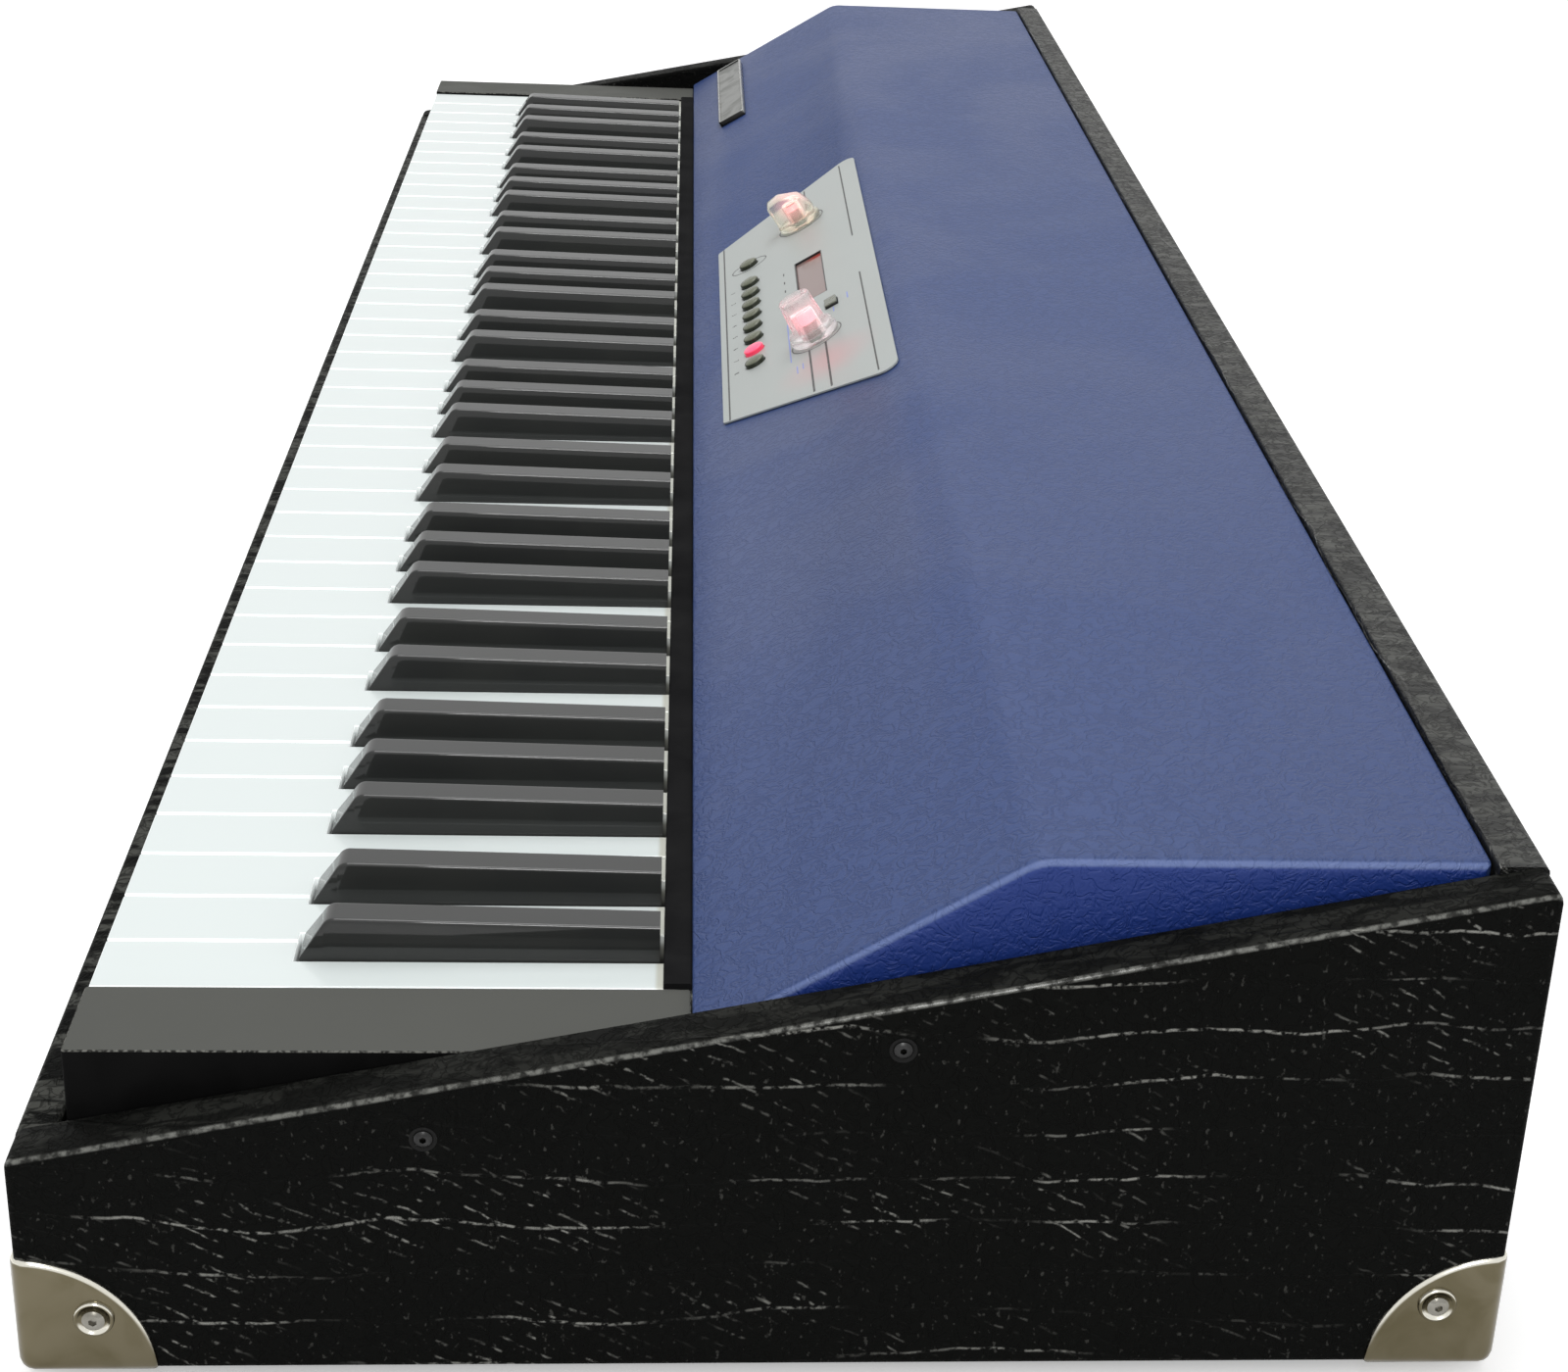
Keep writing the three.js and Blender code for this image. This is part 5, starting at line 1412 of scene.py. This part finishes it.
lone_x, button_along = middle_on_slope("panel_button_1")
dark_print = [strip(*line) for line in (
    (panel_end(FRONT_LINE, -1), panel_end(FRONT_LINE, 1), FRONT_LINE),
    (panel_end(REAR_LINE, -1), BARE_GAP[0], REAR_LINE),
    (BARE_GAP[1], panel_end(REAR_LINE, 1), REAR_LINE),
    (value_x + RING_REACH - mm, panel_end(KNOB_LINES[0], 1), KNOB_LINES[0], KNOB_LINE_WIDTH),
    (value_x + RING_REACH - mm, panel_end(KNOB_LINES[1], 1), KNOB_LINES[1], KNOB_LINE_WIDTH),
    (panel_end(KNOB_LINES[1], -1), volume_x - RING_REACH, KNOB_LINES[1]),
)]
dark_print += [printed_ring(x, knob_along, KNOB_RING, KNOB_RING) for x in (value_x, volume_x)]
dark_print += [printed_ring(lone_x, button_along, *LONE_RING)]
print("printed parts:", len(dark_print))

# %% [markdown]
# ### Printed numbers
# In front of each button of the row stands its number. Blender's own letters are curves, so each number is
# turned into a mesh first, filled and given the thickness of the ink, and then laid on the slope.

# %% Numbers and ticks
NUMBER_SIZE, NUMBER_ALONG = 3.2 * mm, 21.6 * mm
TICK_LENGTH, TICK_WIDTH, TICK_ALONG = 3.2 * mm, 0.6 * mm, 46.3 * mm


def digits(text, x, along, size):
    """The mesh of printed digits: points on the slope, with triangles and no end caps."""
    curve = bpy.data.curves.new("digits", "FONT")
    curve.body, curve.size, curve.align_x = text, size, "CENTER"
    curve.resolution_u, curve.extrude = 2, INK_PROUD
    shown = linked("digits", curve)
    filled = shown.evaluated_get(bpy.context.evaluated_depsgraph_get())
    mesh = filled.to_mesh()
    points = np.array([vertex.co[:] for vertex in mesh.vertices])
    outlines = [np.array(face.vertices) for face in mesh.polygons]
    filled.to_mesh_clear()
    bpy.data.objects.remove(shown)
    bpy.data.curves.remove(curve)
    return on_slope((points, None, None), x, along, panel_top)[0], np.empty((0, 4), int), outlines


for number in range(1, 9):
    x = middle_on_slope(f"panel_button_{number + 1}")[0]
    dark_print.append(digits(str(number), x, NUMBER_ALONG - NUMBER_SIZE / 2, NUMBER_SIZE))
window_x, window_along = edges_on_slope("display_window")
for tick in np.linspace(window_x[0] + 8 * mm, window_x[1] - 34 * mm, 3):
    dark_print.append(strip(tick, tick + TICK_LENGTH, TICK_ALONG, TICK_WIDTH))
make("panel_print_dark", dark_print, INK_BLACK)

menu_x, menu_along = middle_on_slope("menu_button")
blue_print = [strip(*line) for line in (
    (28 * mm, 78 * mm, 45.6 * mm, 0.55 * mm),
    (86 * mm, 95 * mm, 47.9 * mm, 0.5 * mm),
    (86 * mm, 93 * mm, 50.5 * mm, 0.5 * mm),
    (menu_x - 4 * mm, menu_x + 4 * mm, menu_along + 7.4 * mm, 0.6 * mm),
    (menu_x + 6 * mm, menu_x + 12 * mm, menu_along + 0.5 * mm, 0.5 * mm),
)]
make("panel_print_blue", blue_print, INK_BLUE)
print("printed:", made[-2:])

# %% [markdown]
# ### Buttons
# A round button is a smoked dome on a short wall. A flange under the panel keeps it in, and a stem reaches
# down to its switch. All of that is one turned part. The dome is a quarter of an ellipse, which is what a
# moulded lens cap has. The oblong menu button is a plate with rounded rims.

# %% Round and oblong buttons
BUTTON_WALL, BUTTON_DOME, BUTTON_HALF = 1.4 * mm, 1.3 * mm, 4.3 * mm
FLANGE_OUT, FLANGE_DEPTH, STEM_HALF = 0.8 * mm, 1.0 * mm, 1.8 * mm
CAP_ROUND = 0.35 * mm

stem_foot = levels_on_slope("panel_button_1")[0]
turn = np.linspace(0, np.pi / 2, 12)
dome = np.c_[
    (BUTTON_HALF - CAP_ROUND) * np.cos(turn) + CAP_ROUND * np.cos(turn) ** 3,
    panel_top + BUTTON_WALL + BUTTON_DOME * np.sin(turn)]
dome[-1, 0] = 0.02 * mm
FLANGE_HALF = BUTTON_HALF + FLANGE_OUT
button_profile = np.concatenate([[
    (STEM_HALF, stem_foot), (STEM_HALF, -FLANGE_DEPTH), (FLANGE_HALF, -FLANGE_DEPTH),
    (FLANGE_HALF, -0.1 * mm), (FLANGE_HALF - 0.1 * mm, 0), (BUTTON_HALF, 0), (BUTTON_HALF, panel_top)], dome])
LIT_BUTTON = "panel_button_8"
for number in range(1, 10):
    node = f"panel_button_{number}"
    cap = on_slope(turned(button_profile), *middle_on_slope(node))
    finish = LIT_RED if node == LIT_BUTTON else SMOKED
    make(f"{node}_cap", [cap], finish, body=node, nodes=[node])

menu_top = levels_on_slope("menu_button")[1]
flange_x, flange_along = (np.ptp(edges) / 2 * np.array([-1, 1]) for edges in edges_on_slope("menu_button"))
cap_x, cap_along = (edges + (FLANGE_OUT, -FLANGE_OUT) for edges in (flange_x, flange_along))
menu_parts = [
    plate(rectangle(cap_x, cap_along, 0.5 * mm), -0.5 * FLANGE_DEPTH, menu_top, 0.3 * mm),
    plate(rectangle(flange_x, flange_along, 0.5 * mm), -FLANGE_DEPTH, 0, 0.1 * mm),
    turned([(STEM_HALF, stem_foot), (STEM_HALF, -0.5 * FLANGE_DEPTH)], 20),
]
make("menu_button_cap", [on_slope(part, menu_x, menu_along) for part in menu_parts], MENU_BLACK,
     body="menu_button", nodes=["menu_button"])
print("buttons:", made[-10:])

# %% [markdown]
# ### Display
# The display lies under the panel. Its window is lined with black, which shows as a dark line at the far
# end where the camera looks at the inside of the wall.

# %% Display and its liner
LINER = 0.5 * mm
LINER_FOOT, LINER_TOP = 0.02 * mm, panel_top - 0.05 * mm
WINDOW_RIM = 2.5 * mm

face_low = levels_on_slope("display_window")[0]
make("display_face", [on_slope(plate(rectangle(window_x, window_along), face_low, 0, 0.1 * mm))], DISPLAY,
     nodes=["display_window"])
hole_x, hole_along = (np.array(edges) + (WINDOW_RIM, -WINDOW_RIM) for edges in (window_x, window_along))
insets = np.array([0.02, 0.02, 1.0, 1.0]) * LINER
levels = (LINER_FOOT, LINER_TOP, LINER_TOP, LINER_FOOT)
liner = loft(stacked(rectangle(hole_x, hole_along, 0.3 * mm), insets, levels), around=True)
make("display_liner", [on_slope(liner)], SOCKET_BLACK)
print("display:", made[-2:])

# %% [markdown]
# ### Knobs
# Both knobs are clear caps over the tip of a shaft that carries a red lamp. The value knob is turned, with
# two stacked skirts and a tapering body. Its grip comes from twelve shallow flutes: the radius is reduced
# by a small amount times the square of half a sine wave around the knob, and only along the body.

# %% Clear plastic round each lamp
LAMP_HEIGHT = 10 * mm
PINK_GLOW = (1.0, 0.28, 0.33)


def lamp_place(x):
    """The middle of the lamp inside a knob."""
    return slope_origin + (x, 0, 0) + knob_along * slope_up + (panel_top + LAMP_HEIGHT) * slope_normal


VALUE_CLEAR = clear_plastic("value_knob_clear", (0.97, 0.94, 0.94), 0.20, lamp_place(value_x), PINK_GLOW)
VOLUME_CLEAR = clear_plastic("volume_knob_clear", (0.95, 0.95, 0.84), 0.12, lamp_place(volume_x), PINK_GLOW)
print("finish:", VALUE_CLEAR.name, VOLUME_CLEAR.name)

# %% Value knob
CHAMBER_TOP = 12.6
VALUE_SKIRTS = [
    (0.05, CHAMBER_TOP), (3.4, CHAMBER_TOP), (4.2, CHAMBER_TOP - 0.8), (4.2, 0.3), (4.5, 0.0), (9.8, 0.0),
    (10.2, 0.4), (10.2, 2.3), (10.0, 2.6), (9.2, 2.7), (9.2, 2.9), (9.5, 3.0), (9.7, 3.3), (9.7, 4.3),
    (9.4, 4.8), (8.1, 4.9)]
BODY_FOOT_HALF, BODY_TOP_HALF, BODY_ROUND = 7.5 * mm, 6.7 * mm, 1.0 * mm
DISH_DEPTH = 0.35 * mm
FLUTES, FLUTE_DEPTH, FLUTE_STEPS = 12, 0.42 * mm, 96

knob_base, knob_top = levels_on_slope("value_knob")


def above_base(rows):
    """Radii and heights above the foot of the knobs, given in millimetres, as a profile in metres."""
    return np.array(rows) * mm + (0, knob_base)


body_foot, body_top = knob_base + 5.0 * mm, knob_top - BODY_ROUND
turn = np.linspace(0, np.pi / 2, 5)[1:]
body_side = np.linspace((BODY_FOOT_HALF, body_foot), (BODY_TOP_HALF, body_top), 9)
top_edge = np.c_[BODY_TOP_HALF - BODY_ROUND * (1 - np.cos(turn)), body_top + BODY_ROUND * np.sin(turn)]
dish = [(0.72 * BODY_TOP_HALF, knob_top), (0.66 * BODY_TOP_HALF, knob_top - DISH_DEPTH),
        (0.05 * mm, knob_top - DISH_DEPTH)]
value_profile = np.concatenate([above_base(VALUE_SKIRTS), body_side, top_edge, dish])
points, faces, caps = turned(value_profile, FLUTE_STEPS)
radius = np.linalg.norm(points[:, :2], axis=1)
angle = np.arctan2(points[:, 1], points[:, 0])
on_body = np.interp(points[:, 2], [body_foot, body_foot + mm, body_top - mm, body_top], [0, 1, 1, 0])
on_body *= radius > 0.8 * BODY_TOP_HALF
cut = FLUTE_DEPTH * on_body * np.sin(FLUTES / 2 * angle) ** 2
points[:, :2] *= 1 - (cut / radius)[:, None]
make("value_knob_clear", [on_slope((points, faces, caps), value_x, knob_along)], VALUE_CLEAR,
     body="value_knob", nodes=["value_knob"])
print("value knob:", len(points), "points")

# %% [markdown]
# The volume knob is a disc with an arched bar across it, like a short handle. The bar is a plate cut to its
# side view, which has a steep nose at the front and a long curve down at the rear: a bend from the tail to
# the shoulder that a third point, the bulge, pulls outwards. The hollow for the lamp is a closed turned
# surface inside the bar that faces inwards: its profile runs downwards on its outside. The lamps are
# sleeves round the shafts. They belong to the case, because they don't turn with the knobs.

# %% Volume knob and the lamps
BAR_HALF, BAR_EDGE = 5.5 * mm, 0.7 * mm
TAIL, TAIL_BULGE, SHOULDER = np.array([(8.8, 1.8), (8.8, 7.6), (5.1, 12.2)])
NOSE, NOSE_TOP, CROWN = (-9.2, 1.8), (-10.1, 14.2), (-3.5, 15.4)
BAR_RADII = np.array([1.3] * 8 + [3.0, 3.0, 1.6]) * mm
DISC = [(4.2, 2.4), (4.2, 0.3), (4.5, 0.0), (9.8, 0.0), (10.2, 0.4), (10.2, 1.9), (9.7, 2.4)]
HOLLOW_TOP = 11.0
HOLLOW = [(0.05, HOLLOW_TOP), (3.4, HOLLOW_TOP), (4.2, HOLLOW_TOP - 0.8), (4.2, 2.0), (0.05, 2.0)]

share = np.linspace(0, 1, 8)[:, None]
tail_curve = (1 - share) ** 2 * TAIL + 2 * share * (1 - share) * TAIL_BULGE + share ** 2 * SHOULDER
bar_outline = rounded(above_base([NOSE, *tail_curve, CROWN, NOSE_TOP]), BAR_RADII, 3)
bar = upright_plate(bar_outline, -BAR_HALF, BAR_HALF, BAR_EDGE)
disc = turned(above_base(DISC), 64, around=True)
hollow = turned(above_base(HOLLOW), 48)
volume_parts = [on_slope(part, volume_x, knob_along) for part in (bar, disc, hollow)]
make("volume_knob_clear", volume_parts, VOLUME_CLEAR,
     body="volume_knob", nodes=["volume_knob"])

for job, x, top in (("value", value_x, CHAMBER_TOP - 0.4), ("volume", volume_x, HOLLOW_TOP - 0.4)):
    sleeve = turned(above_base([(3.5, 7.1), (3.5, top - 1.5), (2.5, top - 0.3), (0.05, top)]), 32)
    make(f"{job}_lamp", [on_slope(sleeve, x, knob_along)], LAMP_RED)
print("knobs and lamps:", made[-4:])

# %% [markdown]
# ### Name plate
# The name plate at the left is a bright frame round a darker sunk field. It is left bare. The frame is a
# closed cross-section carried around the plate's outline, and the field is a thin plate within it.

# %% Name plate
RIM_WIDTH, RIM_ROUND, FIELD_DROP = 1.1 * mm, 0.35 * mm, 0.8 * mm

badge_low, badge_high = levels_on_slope("badge_plate")
badge_outline = rectangle(*edges_on_slope("badge_plate"), 1.4 * mm, 5)
insets = (0, 0, RIM_ROUND, RIM_WIDTH - RIM_ROUND, RIM_WIDTH, RIM_WIDTH)
levels = (badge_low, badge_high - RIM_ROUND, badge_high, badge_high, badge_high - RIM_ROUND, badge_low)
rim = loft(stacked(badge_outline, insets, levels), around=True)
make("badge_rim", [on_slope(rim)], BADGE_METAL, nodes=["badge_plate"])
field = plate(inward(badge_outline, RIM_WIDTH - 0.05 * mm), badge_low, badge_high - FIELD_DROP, 0.1 * mm)
make("badge_field", [on_slope(field)], BADGE_DARK)
print("name plate:", made[-2:])

# %% [markdown]
# ## The rear and the underside
# A black plate in the back panel holds the sockets: a power inlet with its rocker, a data port, two round
# five-pin sockets and five jack sockets. The plate and its holes are already in the frame. What is missing
# is what makes them read as sockets: pins, inner tongues and the nuts round the jacks.

# %% Places on the connector plate
PLATE_EDGE, ROCKER_EDGE = 0.25 * mm, 0.5 * mm
INLET_X, DATA_X, ROUND_X, JACK_X = -105 * mm, -45 * mm, -18 * mm, 32 * mm
ROUND_PITCH, JACK_PITCH = 24 * mm, 20 * mm

softened("connector_plate_sheet", "connector_plate", PLATE_EDGE, PLATE_BLACK)
softened("power_rocker", "power_switch", ROCKER_EDGE, ROCKER_BLACK, body="power_switch")
plate_face = socket_y[1]
plate_middle, plate_level = sum(socket_x) / 2, sum(socket_z) / 2


def on_rear(part, x, rise=0.0):
    """A part laid on the connector plate: x to the right as seen from the front, z out of the plate."""
    return placed(part, (plate_middle + x, plate_face, plate_level + rise), (-1, 0, 0), (0, 0, 1))


print("plate face at", round(plate_face / mm, 1), "mm, middle line at", round(plate_level / mm, 1), "mm")

# %% Nuts, pins and tongues
NUT_HALF, NUT_HEIGHT, NUT_BEVEL, HOLE_HALF = 5.2 * mm, 1.4 * mm, 0.25 * mm, 3.45 * mm
COLLAR_HALF, COLLAR_HEIGHT = 4.3 * mm, 2.0 * mm
SCREW_INSET, PIN_CIRCLE, PIN_HALF = 7 * mm, 3.8 * mm, 0.75 * mm
INLET_PLACES = [(-7 * mm, -2 * mm), (0, 3 * mm), (7 * mm, -2 * mm)]


def hexagon_nut():
    """A six-sided nut round a socket's hole, with a round collar inside it."""
    angle = np.linspace(0, 2 * np.pi, 48, endpoint=False)
    circle = np.stack([np.cos(angle), np.sin(angle)], 1)
    hexagon = circle * hexagon_radius(angle, 1.0)[:, None]
    rings = [(HOLE_HALF * circle, 0), (NUT_HALF * hexagon, 0), (NUT_HALF * hexagon, NUT_HEIGHT - NUT_BEVEL),
             ((NUT_HALF - NUT_BEVEL) * hexagon, NUT_HEIGHT), (COLLAR_HALF * circle, NUT_HEIGHT),
             (COLLAR_HALF * circle, COLLAR_HEIGHT), (HOLE_HALF * circle, COLLAR_HEIGHT)]
    return loft(np.stack([np.c_[ring, np.full(len(ring), height)] for ring, height in rings]), around=True)


def pin(half, low, high):
    """A round contact pin with a rounded tip."""
    turn = np.linspace(0, np.pi / 2, 4)
    tip = np.c_[half * np.cos(turn), high - half + half * np.sin(turn)]
    tip[-1, 0] = 0.05 * half
    return turned(np.concatenate([[(half, low)], tip]), 12)


def blade(half_x, half_y, low, high):
    """A flat contact with rounded edges."""
    return plate(rectangle((-half_x, half_x), (-half_y, half_y), 0.3 * mm), low, high, 0.2 * mm)


make("jack_nuts", [on_rear(hexagon_nut(), JACK_X + number * JACK_PITCH) for number in range(5)], STEEL)
pins = [on_rear(blade(mm, 2 * mm, -16.9 * mm, -4 * mm), INLET_X + x, rise) for x, rise in INLET_PLACES]
for turn in np.radians([-180, -135, -90, -45, 0]):
    for x in (ROUND_X, ROUND_X + ROUND_PITCH):
        round_pin = pin(PIN_HALF, -8.9 * mm, -2 * mm)
        pins.append(on_rear(round_pin, x + PIN_CIRCLE * math.cos(turn), PIN_CIRCLE * math.sin(turn)))
make("socket_pins", pins, STEEL)
tongue = blade(2.8 * mm, 1.6 * mm, -9.9 * mm, -1.5 * mm)
make("data_tongue", [on_rear(tongue, DATA_X)], SOCKET_BLACK)
for side, x in (("l", socket_x[0] + SCREW_INSET), ("r", socket_x[1] - SCREW_INSET)):
    for level, z in (("b", socket_z[0] + SCREW_INSET), ("t", socket_z[1] - SCREW_INSET)):
        fastened(f"plate_screw_{side}{level}", (x, plate_face, z), (0.0, 1.0, 0.0), washer=False, size=0.9)
print("rear trim:", made[-7:])

# %% [markdown]
# ### Feet and what is hidden
# The feet are turned rubber pads with a sunk screw. The key frame and the two boards are hardly ever seen,
# but they keep their own solids and get real finishes too.

# %% Feet and hidden nodes
FOOT_SIDE = [
    (0.1, 3.0), (3.2, 3.0), (3.6, 2.6), (4.0, 0.5), (4.6, 0.0), (10.8, 0.0), (11.64, 0.36), (12.0, 1.2)]
FOOT_TOP_HALF, FOOT_SCREW_RISE = 15 * mm, 3 * mm

foot_low, foot_high = span("front_left_foot", 2)
foot_profile = np.concatenate([
    np.array(FOOT_SIDE) * mm + (0, foot_low), [(FOOT_TOP_HALF, foot_high), (0.1 * mm, foot_high)]])
for end in ("front", "rear"):
    for side in ("left", "right"):
        node = f"{end}_{side}_foot"
        x, y = (sum(span(node, axis)) / 2 for axis in range(2))
        pad = placed(turned(foot_profile), (x, y, 0))
        make(f"{node}_pad", [pad], RUBBER, nodes=[node])
        fastened(f"{node}_screw", (x, y, foot_low + FOOT_SCREW_RISE), (0, 0, -1), washer=False, size=0.8)

hidden = {"key_frame": ZINC, "control_board": BOARD_GREEN, "main_board": BOARD_GREEN}
for node, finish in hidden.items():
    for material_slot in frame["nodes"][node].material_slots:
        material_slot.material = finish
print("feet:", made[-8:], "hidden:", list(hidden))

# %% [markdown]
# ## Light and background
# The object stands on a pale floor under soft studio light. A large area lamp above gives the keys and the
# cover their even light, and one lamp from the right picks out the creases of the cloth. The background is
# white for the camera and for reflections only, so it doesn't wash out the shadows on the object.

# %% Floor and world
WORLD_LIGHT, FLOOR_GLOW = 0.55, 0.35
FLOOR_HALF = 6.0


def white_for_eyes(tree):
    """One where a ray comes from the camera, a mirror or glass, and zero for the light that it receives."""
    path = add(tree, "LightPath")
    seen = maths(tree, "ADD", path.outputs["Is Camera Ray"], path.outputs["Is Glossy Ray"])
    return maths(tree, "ADD", seen, path.outputs["Is Transmission Ray"], clamp=True)


world = bpy.data.worlds.new("studio")
bpy.context.scene.world = world
world.use_nodes = True
background = world.node_tree.nodes["Background"]
background.inputs["Color"].default_value = (1, 1, 1, 1)
strength = ramp(world.node_tree, white_for_eyes(world.node_tree), 0.0, 1.0, WORLD_LIGHT, 1.0)
world.node_tree.links.new(strength, background.inputs["Strength"])

floor_mesh = bpy.data.meshes.new("floor")
floor_corners = [(FLOOR_HALF * x, FLOOR_HALF * y, 0) for x, y in ((-1, -1), (1, -1), (1, 1), (-1, 1))]
floor_mesh.from_pydata(floor_corners, [], [(0, 1, 2, 3)])
floor = linked("floor", floor_mesh)
floor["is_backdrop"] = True
FLOOR_PAPER, tree, shader, place = finish_material(
    "floor_paper", (0.86, 0.86, 0.86), 0.9, Specular_IOR_Level=0.1)
relief(tree, shader, noise(tree, place, 900.0, 3.0), 0.05, 0.1 * mm)
floor_mesh.materials.append(FLOOR_PAPER)
shader.inputs["Emission Color"].default_value = (1, 1, 1, 1)
feed(tree, shader, Emission_Strength=times(tree, white_for_eyes(tree), FLOOR_GLOW))

bpy.context.scene.view_settings.view_transform = "Standard"


# %% Lamps
def softbox(name, place, target, size, power):
    """A rectangular area lamp that faces a target."""
    data = bpy.data.lights.new(name, "AREA")
    data.shape, data.size, data.size_y, data.energy = "RECTANGLE", *size, power
    lamp = linked(name, data)
    back = unit(np.subtract(place, target))
    side = unit(np.cross((0, 1, 0) if abs(back[2]) > 0.9 else (0, 0, 1), back))
    turned_to = Matrix(np.column_stack([side, np.cross(back, side), back])).to_4x4()
    lamp.matrix_world = Matrix.Translation(place) @ turned_to


softbox("ceiling light", (-0.3, -0.1, 2.2), (-0.3, 0.0, 0.1), (2.4, 0.7), 24)
softbox("end light", (2.3, -0.1, 1.7), (0.5, 0.0, 0.08), (0.35, 1.0), 20)

# %% [markdown]
# ## Sizes
# How far the finished surfaces reach beyond the frame's box, on each side, is printed in millimetres.

# %% Sizes and the end
dressed_box = [list(corner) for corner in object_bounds()]
growth = [(d - c) / mm for cad, dressed in zip(cad_box, dressed_box) for c, d in zip(cad, dressed)]
print("pieces:", len(made), "growth in mm:", [round(value, 2) for value in growth])
